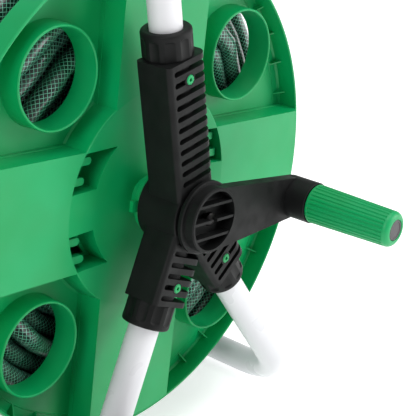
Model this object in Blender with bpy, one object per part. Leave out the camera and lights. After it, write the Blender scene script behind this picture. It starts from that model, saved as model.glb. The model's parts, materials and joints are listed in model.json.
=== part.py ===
"""Garden hose reel cart: a moulded drum full of hose on a bent-tube frame.

The crank side is +X, the front foot is towards +Y and the wheels and the
operator are towards -Y. Everything is laid out about the drum's axis, with
x = 0 at the lips of the right flange's collars. The last step moves the whole
cart so that the origin is at the bottom centre of its box.
"""

import math

import bmesh
import bpy
from mathutils import Matrix, Vector

MM = 0.001

# Clearances
GAP = 0.3 * MM  # between pieces that touch
RUNNING = 0.35 * MM  # radial, where one piece turns in another
WELD = 0.002 * MM  # points closer than this are one point

# Sides of a turned shape, by its size
FINE, ROUND, SMALL = 36, 18, 10

# Overall layout
AXIS_HEIGHT = 251 * MM  # drum axis above the ground
DRUM_INSIDE = 170 * MM  # between the two flange plates
HANDLE_REACH = 592 * MM  # drum axis to the handle's cross tube
HANDLE_LEAN = math.radians(3)  # towards the operator
LEG_SPREAD = math.radians(30)  # each leg from straight down
DRUM_TURN = math.radians(-12.1)  # the drum as it stands, about +X

# Frame tubes
TUBE_R = 12.5 * MM
TUBE_WALL = 1.2 * MM
HANDLE_BEND = 60 * MM
FOOT_BEND = 50 * MM
REAR_LEG_END = 203 * MM  # from the drum axis
GRIP_SLEEVE_LENGTH = 150 * MM
GRIP_SLEEVE_WALL = 4 * MM

# Drum core
CORE_R = 88 * MM
CORE_WALL = 3 * MM

# Flange
FLANGE_R = 204.2 * MM
RIM_WALL = 2.2 * MM
PLATE_X = -18.5 * MM  # outer face of the recessed plate
SKIN = 3 * MM  # plate thickness
PLATEAU_X = 4.5 * MM  # outer face of the raised beams
BEAM_HALF = 48 * MM
BEAM_FALL = 5 * MM  # width of the slope from a beam down to the rim
CREST_R = CORE_R + 2.5 * MM  # edge of the central bowl
BOWL_DEPTH = 5.3 * MM
BOSS_R = 26 * MM
BOSS_X = 14.5 * MM
BOSS_LIP = 4 * MM  # thickness of the boss, on a narrower neck
NECK_R = 15.5 * MM
TAB_WIDTH = 9 * MM
TAB_R = 31 * MM
COLLAR_CENTRE_R = 148.9 * MM
COLLAR_R = 39.1 * MM
COLLAR_WALL = 2 * MM
POCKET_NEAR = 16.5 * MM  # from the beam's middle line
POCKET_FAR = 47.2 * MM
POCKET_INNER_R = max(CORE_R - 25.7 * MM, POCKET_FAR + 6 * MM)
POCKET_OUTER_R = CORE_R + 1.8 * MM
POCKET_WALL = 2 * MM

# Hooks and hose
HOOK_WIDTH = 6.5 * MM
HOOK_REACH = 13 * MM
HOOK_THICK = 6 * MM
HOOK_DROP = 5 * MM  # below the raised beams
HOSE_R = 7.8 * MM
HOSE_LAYERS = 7
LAYER_RISE = 15.7 * MM
HOSE_START = 14 * MM  # length of the fitting's curved tail under the hose
CONNECTOR_R = 10.5 * MM
CONNECTOR_LENGTH = 46 * MM
CONNECTOR_ANGLE = math.radians(-5)  # about the drum, from the crank arm

# Hub brackets and bearings
BRACKET_BACK = 16.6 * MM
BRACKET_FRONT = 56.6 * MM
BRACKET_BOSS_R = 29 * MM
ARM_BACK = 24 * MM
TUBE_X = 36.6 * MM
ARM_WIDTH = 43 * MM
ARM_CORNER = 9 * MM  # on the side where the slots are open
ARM_EDGE = 4 * MM  # on the other side
UPPER_ARM_END = 129.5 * MM
LOWER_ARM_END = 75 * MM
SLOT_HEIGHT = 4.2 * MM
SLOT_DEPTH = 5 * MM
SLOT_START = 5 * MM  # from the arm's plain side
FIRST_SLOT = 6.5 * MM  # from the arm's end
UPPER_SLOTS = 11
LOWER_SLOTS = 6
SLOT_PITCH = 8.97 * MM
NUT_R = 19.2 * MM
NUT_LENGTH = 21 * MM
SPIGOT_R = 16 * MM
SPIGOT_LENGTH = 12 * MM
SOCKET_DEPTH = 40 * MM  # tube inside an arm
PLUG_R = 3.8 * MM
PLUG_RING = 1.5 * MM
JOURNAL_R = 17 * MM
JOURNAL_END = 48 * MM
JOURNAL_BORE = 13 * MM
BUSH_WALL = 3 * MM
BUSH_LENGTH = 24 * MM

# Crank
CRANK_BACK = 58.6 * MM
CRANK_FRONT = 71.6 * MM
CRANK_HUB_R = 26.2 * MM
CRANK_SKIRT_R = 29.5 * MM
CRANK_THROW = 108 * MM
CRANK_BOSS_R = 18 * MM
CRANK_BOSS_END = 90.5 * MM
CRANK_SLATS = 3
SLAT_WIDTH = 2.2 * MM
HUB_WALL = 2.6 * MM
BOLT_R = 3 * MM
SQUARE = 16 * MM  # side of the crank's square drive
GRIP_LENGTH = 77 * MM
GRIP_R_INNER = 16.9 * MM  # by the crank
GRIP_R_OUTER = 15 * MM
GRIP_DISC_R = 8.5 * MM
SPINDLE_R = 5 * MM

# Wheels and axle
WHEEL_R = 66 * MM
WHEEL_WIDTH = 28 * MM
WHEEL_HUB_R = 14 * MM
AXLE_R = 5 * MM
AXLE_BACK = 140 * MM  # axle behind the drum axis
AXLE_BOSS_R = 13 * MM
SOCKET_LENGTH = 26 * MM
SOCKET_WALL = 4 * MM

# Water inlet
INLET_R = 9 * MM
INLET_BORE = 4.5 * MM
INLET_LENGTH = 38 * MM  # beyond the left bracket
RING_SECTION = 1.2 * MM
PIPE_R = 7 * MM  # elbow's pipe to the drum core
STEM_R = 6 * MM
PIPE_BORE = 4.2 * MM

# Worked out from the above
PLATE_BACK = PLATE_X - SKIN
MID_X = PLATE_BACK - DRUM_INSIDE / 2
FOOT_REACH = (AXIS_HEIGHT - TUBE_R) / math.cos(LEG_SPREAD)
AXLE_Z = WHEEL_R - AXIS_HEIGHT
ELBOW_X = 2 * MID_X - PLATE_BACK + GAP + HOSE_R + GAP
WHEEL_IN = max(TUBE_X + AXLE_BOSS_R + 7 * MM, BRACKET_FRONT + GAP)
WHEEL_OUT = WHEEL_IN + WHEEL_WIDTH
UP, FRONT_LEG, REAR_LEG = HANDLE_LEAN, math.pi + LEG_SPREAD, math.pi - LEG_SPREAD

GREEN, DARK_GREEN, BLACK = "moulded_green", "hose_green", "moulded_black"
WHITE, STEEL, GREY, RUBBER = "powder_white", "zinc_steel", "disc_grey", "seal_rubber"
DARK_STEEL = "oxide_steel"
FINISHES = {
    GREEN: ((0.0, 0.315, 0.095, 1), 0.42, 0.0),
    DARK_GREEN: ((0.004, 0.05, 0.03, 1), 0.3, 0.0),
    BLACK: ((0.012, 0.013, 0.013, 1), 0.5, 0.0),
    WHITE: ((0.82, 0.82, 0.84, 1), 0.35, 0.0),
    STEEL: ((0.62, 0.63, 0.65, 1), 0.35, 1.0),
    DARK_STEEL: ((0.03, 0.03, 0.032, 1), 0.45, 1.0),
    GREY: ((0.15, 0.14, 0.15, 1), 0.55, 0.0),
    RUBBER: ((0.01, 0.01, 0.01, 1), 0.8, 0.0),
}


def material(name):
    made = bpy.data.materials.get(name)
    if made:
        return made
    colour, rough, metallic = FINISHES[name]
    made = bpy.data.materials.new(name)
    made.use_nodes = True
    shader = made.node_tree.nodes["Principled BSDF"]
    shader.inputs["Base Color"].default_value = colour
    shader.inputs["Roughness"].default_value = rough
    shader.inputs["Metallic"].default_value = metallic
    made.diffuse_color = colour
    return made


def empty(name, parent=None, place=(0, 0, 0), turn=0.0):
    axis = bpy.data.objects.new(name, None)
    bpy.context.collection.objects.link(axis)
    axis.location = place
    axis.rotation_euler.x = turn
    axis.parent = parent
    return axis


def solid(points, faces):
    mesh = bpy.data.meshes.new("solid")
    mesh.from_pydata([tuple(p) for p in points], [], faces)
    shape = bmesh.new()
    shape.from_mesh(mesh)
    bmesh.ops.recalc_face_normals(shape, faces=shape.faces)
    shape.to_mesh(mesh)
    shape.free()
    obj = bpy.data.objects.new("solid", mesh)
    bpy.context.collection.objects.link(obj)
    return obj


def turned(profile, segments=ROUND, centre=(0.0, 0.0)):
    """A closed (x, radius) outline turned about the X axis, or a line beside it."""
    points, rings = [], []
    for x, radius in profile:
        count = segments if radius > 0 else 1
        rings.append(range(len(points), len(points) + count))
        for k in range(count):
            angle = 2 * math.pi * k / segments
            y = centre[0] + radius * math.cos(angle)
            points.append((x, y, centre[1] + radius * math.sin(angle)))
    faces = []
    for a, b in zip(rings, rings[1:] + rings[:1]):
        if len(a) == len(b) == 1:
            continue
        for k in range(segments):
            j = (k + 1) % segments
            if len(a) == 1:
                faces.append((a[0], b[k], b[j]))
            elif len(b) == 1:
                faces.append((a[k], b[0], a[j]))
            else:
                faces.append((a[k], b[k], b[j], a[j]))
    return solid(points, faces)


def ring(x0, x1, outer, inner, segments=ROUND, centre=(0.0, 0.0)):
    if inner <= 0:
        profile = [(x0, 0.0), (x0, outer), (x1, outer), (x1, 0.0)]
    else:
        profile = [(x0, inner), (x0, outer), (x1, outer), (x1, inner)]
    return turned(profile, segments, centre)


def prism(outline, x0, x1):
    """A (y, z) outline extruded along X."""
    n = len(outline)
    points = [(x, y, z) for x in (x0, x1) for y, z in outline]
    faces = [tuple(range(n)), tuple(range(n, 2 * n))]
    faces += [(k, (k + 1) % n, n + (k + 1) % n, n + k) for k in range(n)]
    return solid(points, faces)


def block(x0, x1, y0, y1, z0, z1):
    return prism([(y0, z0), (y1, z0), (y1, z1), (y0, z1)], x0, x1)


def arc(radius, start, end, steps, centre=(0.0, 0.0)):
    angles = [start + (end - start) * k / steps for k in range(steps + 1)]
    return [
        (centre[0] + radius * math.cos(a), centre[1] + radius * math.sin(a))
        for a in angles
    ]


def moved(obj, matrix):
    """The object with its mesh moved, its faces turned round again if it was mirrored."""
    obj.data.transform(matrix)
    if matrix.determinant() < 0:
        obj.data.flip_normals()
    return obj


def turned_to(obj, angle):
    """From standing along +Z to the direction that turning by angle about +X gives."""
    return moved(obj, Matrix.Rotation(angle, 4, "X"))


def other_side(obj):
    """A copy of a right-hand shape, mirrored to the left side of the cart."""
    copy = bpy.data.objects.new("solid", obj.data.copy())
    bpy.context.collection.objects.link(copy)
    mirror = Matrix.Translation((2 * MID_X, 0, 0)) @ Matrix.Scale(-1, 4, (1, 0, 0))
    return moved(copy, mirror)


def combined(target, others, operation="UNION"):
    """The target after a Boolean with each of the others, which are then removed."""
    for other in others:
        step = target.modifiers.new(operation, "BOOLEAN")
        step.operation = operation
        step.object = other
        step.solver = "EXACT"
        graph = bpy.context.evaluated_depsgraph_get()
        result = bpy.data.meshes.new_from_object(target.evaluated_get(graph))
        target.modifiers.clear()
        shape = bmesh.new()
        shape.from_mesh(result)
        bmesh.ops.remove_doubles(shape, verts=shape.verts, dist=WELD)
        bmesh.ops.dissolve_degenerate(shape, edges=shape.edges, dist=WELD)
        shape.to_mesh(result)
        shape.free()
        target.data = result
        bpy.data.objects.remove(other)
    return target


def cut(target, others):
    return combined(target, others, "DIFFERENCE")


def node(name, obj, finish, parent):
    obj.name = name
    obj.data.name = name
    obj.data.materials.clear()
    obj.data.materials.append(material(finish))
    obj.data.shade_smooth()
    obj.data.set_sharp_from_angle(angle=math.radians(32))
    obj.parent = parent
    return obj


def pair(name, obj, finish, parent):
    """The same piece on both sides of the cart."""
    node(f"{name}_left", other_side(obj), finish, parent)
    node(f"{name}_right", obj, finish, parent)


def along(angle, distance, x=0.0):
    """The point at this distance from the drum axis, on the arm at this angle."""
    return Vector((x, -distance * math.sin(angle), distance * math.cos(angle)))


# ---------------------------------------------------------------- frame tubes


def bent_tube(path, outer=TUBE_R, inner=TUBE_R - TUBE_WALL, sides=12):
    """A hollow tube along a path."""
    rings_out, rings_in, points = [], [], []
    normal = None
    for k, place in enumerate(path):
        ahead = path[min(k + 1, len(path) - 1)] - path[max(k - 1, 0)]
        ahead.normalize()
        if normal is None:
            normal = ahead.orthogonal().normalized()
        normal = (normal - ahead * normal.dot(ahead)).normalized()
        side = ahead.cross(normal)
        for radius, rings in ((outer, rings_out), (inner, rings_in)):
            rings.append(range(len(points), len(points) + sides))
            for j in range(sides):
                angle = 2 * math.pi * j / sides
                around = normal * math.cos(angle) + side * math.sin(angle)
                points.append(place + around * radius)
    faces = []
    loop = rings_out + rings_in[::-1]
    for a, b in zip(loop, loop[1:] + loop[:1]):
        for j in range(sides):
            i = (j + 1) % sides
            faces.append((a[j], b[j], b[i], a[i]))
    return solid(points, faces)


def u_path(angle, start, reach, bend, steps=6):
    """Up one side of the cart at an arm's angle, across at reach, and down the other side."""
    path = [(TUBE_X, start)]
    corner = (TUBE_X - bend, reach - bend)
    path += arc(bend, 0, math.pi / 2, steps, corner)
    path += [(2 * MID_X - x, s) for x, s in reversed(path)]
    return [along(angle, s, x) for x, s in path]


def frame_tubes(root):
    start = UPPER_ARM_END - SOCKET_DEPTH
    node("handle_tube", bent_tube(u_path(UP, start, HANDLE_REACH, HANDLE_BEND)), WHITE, root)
    start = LOWER_ARM_END - SOCKET_DEPTH
    foot = bent_tube(u_path(FRONT_LEG, start, FOOT_REACH, FOOT_BEND))
    node("front_foot_tube", foot, WHITE, root)
    leg = bent_tube([along(REAR_LEG, start, TUBE_X), along(REAR_LEG, REAR_LEG_END, TUBE_X)])
    pair("rear_leg", leg, WHITE, root)
    top = along(UP, HANDLE_REACH)
    half = GRIP_SLEEVE_LENGTH / 2
    inner = TUBE_R + GAP
    sleeve = ring(MID_X - half, MID_X + half, inner + GRIP_SLEEVE_WALL, inner, 20, top.yz)
    node("handle_grip", sleeve, BLACK, root)


# --------------------------------------------------------- hub bracket and nuts


def arm_block(end, inset, side):
    """One arm standing along +Z, rounded at the front, more so towards this side (1 or -1)."""
    half = ARM_WIDTH / 2
    front = BRACKET_FRONT - inset
    outline = [(ARM_BACK + inset, -half), (ARM_BACK + inset, half)]
    outline += arc(ARM_CORNER, 0, math.pi / 2, 3, (front - ARM_CORNER, half - ARM_CORNER))[::-1]
    outline += arc(ARM_EDGE, -math.pi / 2, 0, 2, (front - ARM_EDGE, ARM_EDGE - half))[::-1]
    n = len(outline)
    points = [(x, side * y, z) for z in (15 * MM, end) for x, y in outline]
    faces = [tuple(range(n)), tuple(range(n, 2 * n))]
    faces += [(k, (k + 1) % n, n + (k + 1) % n, n + k) for k in range(n)]
    return solid(points, faces)


def upright(x0, x1, outer, inner=0.0, segments=ROUND):
    """A ring or rod standing along +Z on the tube's line, from x0 to x1 up it."""
    return on_tube_line(ring(x0, x1, outer, inner, segments))


def on_tube_line(obj, x=TUBE_X):
    """Stands a shape turned about X up along +Z, over the tube's line."""
    return moved(obj, Matrix(((0, 0, 1, x), (0, 1, 0, 0), (1, 0, 0, 0), (0, 0, 0, 1))))


def bracket_arm(end, count, inset, side):
    """An arm with its spigot, tube socket, slots and plug hole, and the plug itself."""
    front = BRACKET_FRONT - inset
    floor = front - SLOT_DEPTH
    spigot = upright(end - 1 * MM, end + SPIGOT_LENGTH, SPIGOT_R, 0, 16)
    arm = combined(arm_block(end, inset, side), [spigot])
    slots = []
    left, right = sorted((side * (SLOT_START - ARM_WIDTH / 2), side * (ARM_WIDTH / 2 + GAP)))
    for k in range(count):
        z = end - FIRST_SLOT - k * SLOT_PITCH
        low, high = z - SLOT_HEIGHT / 2, z + SLOT_HEIGHT / 2
        slots.append(block(floor, front + GAP, left, right, low, high))
    place = (0, end - FIRST_SLOT - SLOT_PITCH)
    collar = ring(floor - 1 * MM, front + 0.3 * MM, PLUG_R + PLUG_RING, 0, SMALL, place)
    arm = combined(cut(arm, slots), [collar])
    socket = upright(end - SOCKET_DEPTH - 1 * MM, end + SPIGOT_LENGTH + 1 * MM, TUBE_R + GAP, 0, 18)
    hole = ring(floor - 0.5 * MM, front + 1 * MM, PLUG_R + GAP, 0, SMALL, place)
    plug = ring(floor - 0.5 * MM + GAP, front + 0.8 * MM, PLUG_R, 1.2 * MM, SMALL, place)
    return cut(arm, [socket, hole]), plug


# Each arm: direction, end, slots, how far its faces are set in, and the side its slots open on
ARMS = {
    "handle": (UP, UPPER_ARM_END, UPPER_SLOTS, 0.0, 1),
    "rear": (REAR_LEG, LOWER_ARM_END, LOWER_SLOTS, 0.2 * MM, -1),
    "front": (FRONT_LEG, LOWER_ARM_END, LOWER_SLOTS, 0.4 * MM, -1),
}


def hub_brackets(root):
    """A round boss with three arms, the plugs over the tubes' screws, and the nuts."""
    arms = []
    for name, (angle, end, count, inset, side) in ARMS.items():
        arm, plug = bracket_arm(end, count, inset, side)
        arms.append(turned_to(arm, angle))
        pair(f"tube_lock_plug_{name}", turned_to(plug, angle), GREEN, root)
        pair(f"clamp_nut_{name}", turned_to(clamp_nut(end), angle), BLACK, root)
    boss = ring(BRACKET_BACK, BRACKET_FRONT - 0.8 * MM, BRACKET_BOSS_R, 0, 32)
    bore = ring(0, BRACKET_FRONT + 1 * MM, JOURNAL_R + BUSH_WALL + GAP, 0)
    pair("hub_bracket", cut(combined(boss, arms), [bore]), BLACK, root)


def clamp_nut(end):
    """A nut over the arm's spigot, with a rounded top edge that closes on the tube."""
    base, top = end + GAP, end + NUT_LENGTH
    tube, bore = TUBE_R + GAP, SPIGOT_R + GAP
    ledge = end + SPIGOT_LENGTH + GAP
    profile = [(base, bore), (base, NUT_R), (top - 2.5 * MM, NUT_R)]
    profile += [(top, NUT_R - 2.5 * MM), (top, tube), (ledge, tube), (ledge, bore)]
    return on_tube_line(turned(profile, 16))


def bearing_bushes(root):
    """A flanged bush in each bracket, round the drum's journal."""
    inner = JOURNAL_R + RUNNING
    outer = JOURNAL_R + BUSH_WALL
    end = BRACKET_BACK + BUSH_LENGTH
    lip = BRACKET_BACK - GAP
    profile = [(lip - 1.2 * MM, inner), (lip - 1.2 * MM, outer + 3 * MM), (lip, outer + 3 * MM)]
    profile += [(lip, outer), (end, outer), (end, inner)]
    bush = turned(profile)
    pair("bearing_bush", bush, WHITE, root)


# ------------------------------------------------------------------- drum


def bowl(steps=4):
    """The bowl's outer surface, from its crest in to the boss, as (x, radius)."""
    made = []
    for k in range(steps + 1):
        t = k / steps
        drop = BOWL_DEPTH * t * (1.5 - 0.5 * t)
        made.append((PLATEAU_X - drop, CREST_R + (NECK_R + 1 * MM - CREST_R) * t))
    return made


def pocket_outline(grow, up, out):
    """A clip pocket between two arcs and two lines, beside a horizontal beam's middle line."""
    near, far = POCKET_NEAR - grow, POCKET_FAR + grow
    outer, inner = POCKET_OUTER_R + grow, POCKET_INNER_R - grow
    points = arc(outer, math.asin(near / outer), math.asin(far / outer), 3)
    points += arc(inner, math.asin(far / inner), math.asin(near / inner), 3)
    return [(out * y, up * z) for y, z in points]


def hook_angles():
    """Two hooks in each pocket, a third of its height in from each end."""
    low, high = (math.asin(v / CORE_R) for v in (POCKET_NEAR, POCKET_FAR))
    made = []
    for base, sign in ((0, 1), (0, -1), (math.pi, 1), (math.pi, -1)):
        for share in (0.24, 0.74):
            made.append(base + sign * (low + (high - low) * share))
    return made


def at_angle(obj, angle):
    """From the +Y direction to this angle about the drum axis."""
    return moved(obj, Matrix.Rotation(angle, 4, "X"))


def flange():
    """Plate, rim, crossed beams, bowl with four clip pockets, boss and journal."""
    inner_rim = FLANGE_R - RIM_WALL
    profile = [(PLATE_BACK, JOURNAL_BORE), (PLATE_BACK, FLANGE_R), (0, FLANGE_R), (0, inner_rim)]
    profile += [(PLATE_X, inner_rim), (PLATE_X, CREST_R + 1 * MM)] + bowl()
    profile += [(BOSS_X - BOSS_LIP, NECK_R), (BOSS_X - BOSS_LIP, BOSS_R), (BOSS_X, BOSS_R)]
    profile += [(BOSS_X, JOURNAL_R), (JOURNAL_END, JOURNAL_R)]
    profile += [(JOURNAL_END, JOURNAL_BORE)]
    shape = turned(profile, FINE)
    reach = math.sqrt(inner_rim**2 - BEAM_HALF**2)
    start = CREST_R - 1 * MM
    top = PLATEAU_X - 0.1 * MM
    beam_top = [(PLATE_BACK, 0), (PLATE_BACK, inner_rim + 1 * MM), (-0.2 * MM, inner_rim + 1 * MM)]
    beam_top += [(top, inner_rim - BEAM_FALL), (top, 0)]
    beams = []
    for k in range(4):
        spread = math.asin(BEAM_HALF / inner_rim)
        side = arc(inner_rim + 3 * MM, -spread, spread, 2)
        foot = math.sqrt(start**2 - BEAM_HALF**2)
        outline = [(foot, -BEAM_HALF)] + side + [(foot, BEAM_HALF)]
        spread = math.asin(BEAM_HALF / start)
        outline += arc(start, spread, -spread, 5)[1:-1]
        beam = prism(outline, PLATE_BACK + 1 * MM, PLATEAU_X + 2 * MM)
        beams.append(combined(at_angle(beam, k * math.pi / 2), [turned(beam_top, FINE)], "INTERSECT"))
    shape = combined(shape, beams)
    tab_x = (BOSS_X - BOSS_LIP + 0.2 * MM, BOSS_X - 0.2 * MM)
    half_tab = TAB_WIDTH / 2
    tabs = [block(*tab_x, *sorted((side * NECK_R, side * TAB_R)), -half_tab, half_tab) for side in (1, -1)]
    shape = combined(shape, tabs)
    collars, holes = [], []
    for k in range(4):
        angle = math.pi / 4 + k * math.pi / 2
        centre = (COLLAR_CENTRE_R * math.cos(angle), COLLAR_CENTRE_R * math.sin(angle))
        collars.append(ring(PLATE_BACK + 1 * MM, 0, COLLAR_R, 0, ROUND, centre))
        holes.append(ring(PLATE_BACK - GAP, 5 * MM, COLLAR_R - COLLAR_WALL, 0, ROUND, centre))
    shape = cut(combined(shape, collars), holes)
    # hollow from behind, leaving the walls of the pockets, collars and boss
    walls = [prism(pocket_outline(POCKET_WALL, up, out), PLATE_BACK - 1 * MM, PLATEAU_X)
             for up in (1, -1) for out in (1, -1)]
    under = [(x - SKIN, min(r, CREST_R - SKIN)) for x, r in bowl() if x - SKIN > PLATE_BACK]
    under = [(PLATE_BACK - GAP, under[0][1])] + under + [(PLATE_BACK - GAP, under[-1][1])]
    hollows = [cut(turned(under, 28), walls)]
    for k in range(4):
        wide = BEAM_HALF - SKIN
        inside = [(CREST_R + 2 * MM, -wide), (reach - 3 * MM, -wide), (reach - 3 * MM, wide)]
        inside.append((CREST_R + 2 * MM, wide))
        hollow = prism(inside, PLATE_BACK - GAP, PLATEAU_X - SKIN)
        hollows.append(at_angle(hollow, k * math.pi / 2))
    shape = cut(shape, hollows)
    pockets = [prism(pocket_outline(0, up, out), PLATE_X, PLATEAU_X + 1 * MM)
               for up in (1, -1) for out in (1, -1)]
    slots = []
    for angle in hook_angles():
        half = HOOK_WIDTH / 2 + 1 * MM
        inner = CORE_R - CORE_WALL - 1 * MM
        slot = block(PLATE_BACK - GAP, PLATE_X + GAP, inner, CORE_R + 0.6 * MM, -half, half)
        slots.append(at_angle(slot, angle))
    return cut(shape, pockets + slots)


def drum_core():
    """The drum's tube, with eight snap hooks at each end that stand up in the flange's pockets."""
    x1 = PLATE_BACK - GAP
    tube = ring(MID_X, x1, CORE_R, CORE_R - CORE_WALL, FINE)
    top = PLATEAU_X - HOOK_DROP
    hooks = []
    for angle in hook_angles():
        half = HOOK_WIDTH / 2
        inner = CORE_R - CORE_WALL + 0.4 * MM
        stem = [(x1 - 12 * MM, inner), (x1 - 12 * MM, CORE_R - 0.6 * MM), (top, CORE_R - 0.6 * MM)]
        stem += [(top, CORE_R - HOOK_REACH), (top - HOOK_THICK, CORE_R - HOOK_REACH)]
        stem += [(top - HOOK_THICK, inner)]
        points = [(x, y, z) for z in (-half, half) for x, y in stem]
        n = len(stem)
        faces = [tuple(range(n)), tuple(range(n, 2 * n))]
        faces += [(k, (k + 1) % n, n + (k + 1) % n, n + k) for k in range(n)]
        hooks.append(at_angle(solid(points, faces), angle))
    half_drum = combined(tube, hooks)
    whole = combined(half_drum, [other_side(half_drum)])
    return cut(whole, [on_tube_line(ring(CORE_R / 2, CORE_R * 1.1, STEM_R + GAP, 0, SMALL), ELBOW_X)])


def hose_pieces(drum):
    """The wound hose as one turned ring, the fitting it starts at and the connector it ends in."""
    x0, x1 = 2 * MID_X - PLATE_BACK + GAP, PLATE_BACK - GAP
    middle = CORE_R + 2 * GAP + HOSE_R
    outside = middle + (HOSE_LAYERS - 1) * LAYER_RISE + HOSE_R
    profile = [(x0, CORE_R + 2 * GAP), (x0, outside - HOSE_R), (x0 + HOSE_R, outside)]
    profile += [(x1 - HOSE_R, outside), (x1, outside - HOSE_R), (x1, CORE_R + 2 * GAP)]
    tail_r = HOSE_R - GAP
    tail_end = math.pi / 2 + HOSE_START / middle
    path = [Vector((ELBOW_X, y, z)) for y, z in arc(middle, math.pi / 2 - 0.05, tail_end, 4)]
    stem = on_tube_line(ring(CORE_R - CORE_WALL - 2 * MM + GAP, middle, STEM_R, 0, SMALL), ELBOW_X)
    tail = combined(bent_tube(path, tail_r, PIPE_BORE, SMALL), [stem])
    bore = on_tube_line(ring(CORE_R / 2, middle, PIPE_BORE, 0, SMALL), ELBOW_X)
    node("hose_inlet_fitting", cut(tail, [bore]), BLACK, drum)
    room = HOSE_R + GAP
    start = block(ELBOW_X - 2 * room, ELBOW_X + room, -HOSE_START - 3 * MM, room, 0, middle + room)
    seat = middle + (HOSE_LAYERS - 1) * LAYER_RISE - HOSE_R
    centre = seat + CONNECTOR_R + GAP
    x = x1 - CONNECTOR_R - GAP
    half = CONNECTOR_LENGTH / 2
    end_room = block(x - CONNECTOR_R - GAP, x1 + GAP, seat, outside * 1.1, -half - 8 * MM, half + GAP)
    wound = cut(turned(profile, FINE), [start, at_angle(end_room, CONNECTOR_ANGLE)])
    node("hose", wound, DARK_GREEN, drum)
    tube, rim = HOSE_R + GAP, CONNECTOR_R
    outline = [(-half, tube), (-half, rim - 1.5 * MM), (-half + 1.5 * MM, rim), (half * 0.3, rim)]
    outline += [(half * 0.35, rim - 1 * MM), (half * 0.5, rim - 1 * MM), (half * 0.55, rim), (half, rim)]
    outline += [(half, PIPE_BORE + 2 * MM), (half * 0.4, PIPE_BORE), (0, PIPE_BORE), (0, tube)]
    connector = on_tube_line(turned(outline, 16), x)
    connector.data.transform(Matrix.Translation((0, centre, 0)))
    node("hose_connector", at_angle(connector, CONNECTOR_ANGLE), BLACK, drum)


def drum_pieces(drum):
    shape = flange()
    node("flange_left", other_side(shape), GREEN, drum)
    square = SQUARE / 2 + GAP
    socket = block(PLATE_BACK - GAP, PLATE_BACK + 9 * MM, -square, square, -square, square)
    bottom = ring(PLATE_BACK, PLATE_BACK + 8 * MM, JOURNAL_BORE + 1 * MM, 0)
    node("flange_right", cut(combined(shape, [bottom]), [socket]), GREEN, drum)
    node("drum_core", drum_core(), GREEN, drum)
    hose_pieces(drum)


# ------------------------------------------------------------------- crank


def crank(drum):
    """Hub with slats, tapered arm and the boss that carries the grip; the arm points to +Y."""
    hub = [(CRANK_BACK, 0), (CRANK_BACK, CRANK_SKIRT_R), (CRANK_BACK + 3 * MM, CRANK_SKIRT_R)]
    hub += [(CRANK_BACK + 4.5 * MM, CRANK_HUB_R), (CRANK_FRONT, CRANK_HUB_R), (CRANK_FRONT, 0)]
    shape = turned(hub, 32)
    boss = ring(CRANK_BACK + 2 * MM, CRANK_BOSS_END, CRANK_BOSS_R, 0, ROUND, (CRANK_THROW, 0))
    slope = math.asin((CRANK_HUB_R - CRANK_BOSS_R) / CRANK_THROW)
    outline = arc(CRANK_HUB_R - 0.5 * MM, math.pi / 2 - slope, 1.5 * math.pi + slope, 8)
    tip = arc(CRANK_BOSS_R - 0.5 * MM, -math.pi / 2 + slope, math.pi / 2 - slope, 6, (CRANK_THROW, 0))
    arm = prism(outline + tip, CRANK_BACK + 2.5 * MM, CRANK_FRONT - 0.4 * MM)
    stub = ring(PLATE_BACK + 10 * MM, CRANK_BACK + 1 * MM, JOURNAL_BORE - 2 * GAP, 0, 20)
    half = SQUARE / 2
    drive = block(PLATE_BACK + 1 * MM, PLATE_BACK + 11 * MM, -half, half, -half, half)
    shape = combined(shape, [arm, boss, stub, drive])
    hollow = ring(CRANK_BACK + 5 * MM, CRANK_FRONT + GAP, CRANK_HUB_R - HUB_WALL, 0, 32)
    for k in range(CRANK_SLATS):
        z = (k - (CRANK_SLATS - 1) / 2) * 2 * CRANK_HUB_R / (CRANK_SLATS + 1)
        slat = block(CRANK_FRONT - 3 * MM, CRANK_FRONT + 1 * MM, -CRANK_HUB_R, CRANK_HUB_R,
                     z - SLAT_WIDTH / 2, z + SLAT_WIDTH / 2)
        hollow = cut(hollow, [slat])
    bolt_hole = ring(PLATE_BACK, CRANK_BACK + 6 * MM, BOLT_R + GAP, 0, SMALL)
    spindle_hole = ring(CRANK_BOSS_END - 22 * MM, CRANK_BOSS_END + GAP, SPINDLE_R + GAP, 0, SMALL,
                        (CRANK_THROW, 0))
    node("crank_arm", cut(shape, [hollow, bolt_hole, spindle_hole]), BLACK, drum)


def crank_bolt(drum):
    """A bolt through the crank, with a washer and a nut inside the drum."""
    seat = CRANK_BACK + 5 * MM + GAP
    washer = PLATE_BACK - GAP
    nut = washer - 2 * MM - GAP
    end = nut - 8 * MM
    head = [(end, 0), (end, BOLT_R), (seat, BOLT_R), (seat, 5.5 * MM), (seat + 3 * MM, 5.5 * MM)]
    head += [(seat + 3.8 * MM, 4 * MM), (seat + 3.8 * MM, 0)]
    node("crank_bolt", turned(head, SMALL), DARK_STEEL, drum)
    node("crank_washer", ring(washer - 2 * MM, washer, 15 * MM, BOLT_R + GAP), STEEL, drum)
    flats = (BOLT_R + GAP) / math.cos(math.pi / 6)
    node("crank_nut", ring(nut - 5 * MM, nut, 6.3 * MM, flats, 6), STEEL, drum)


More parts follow.
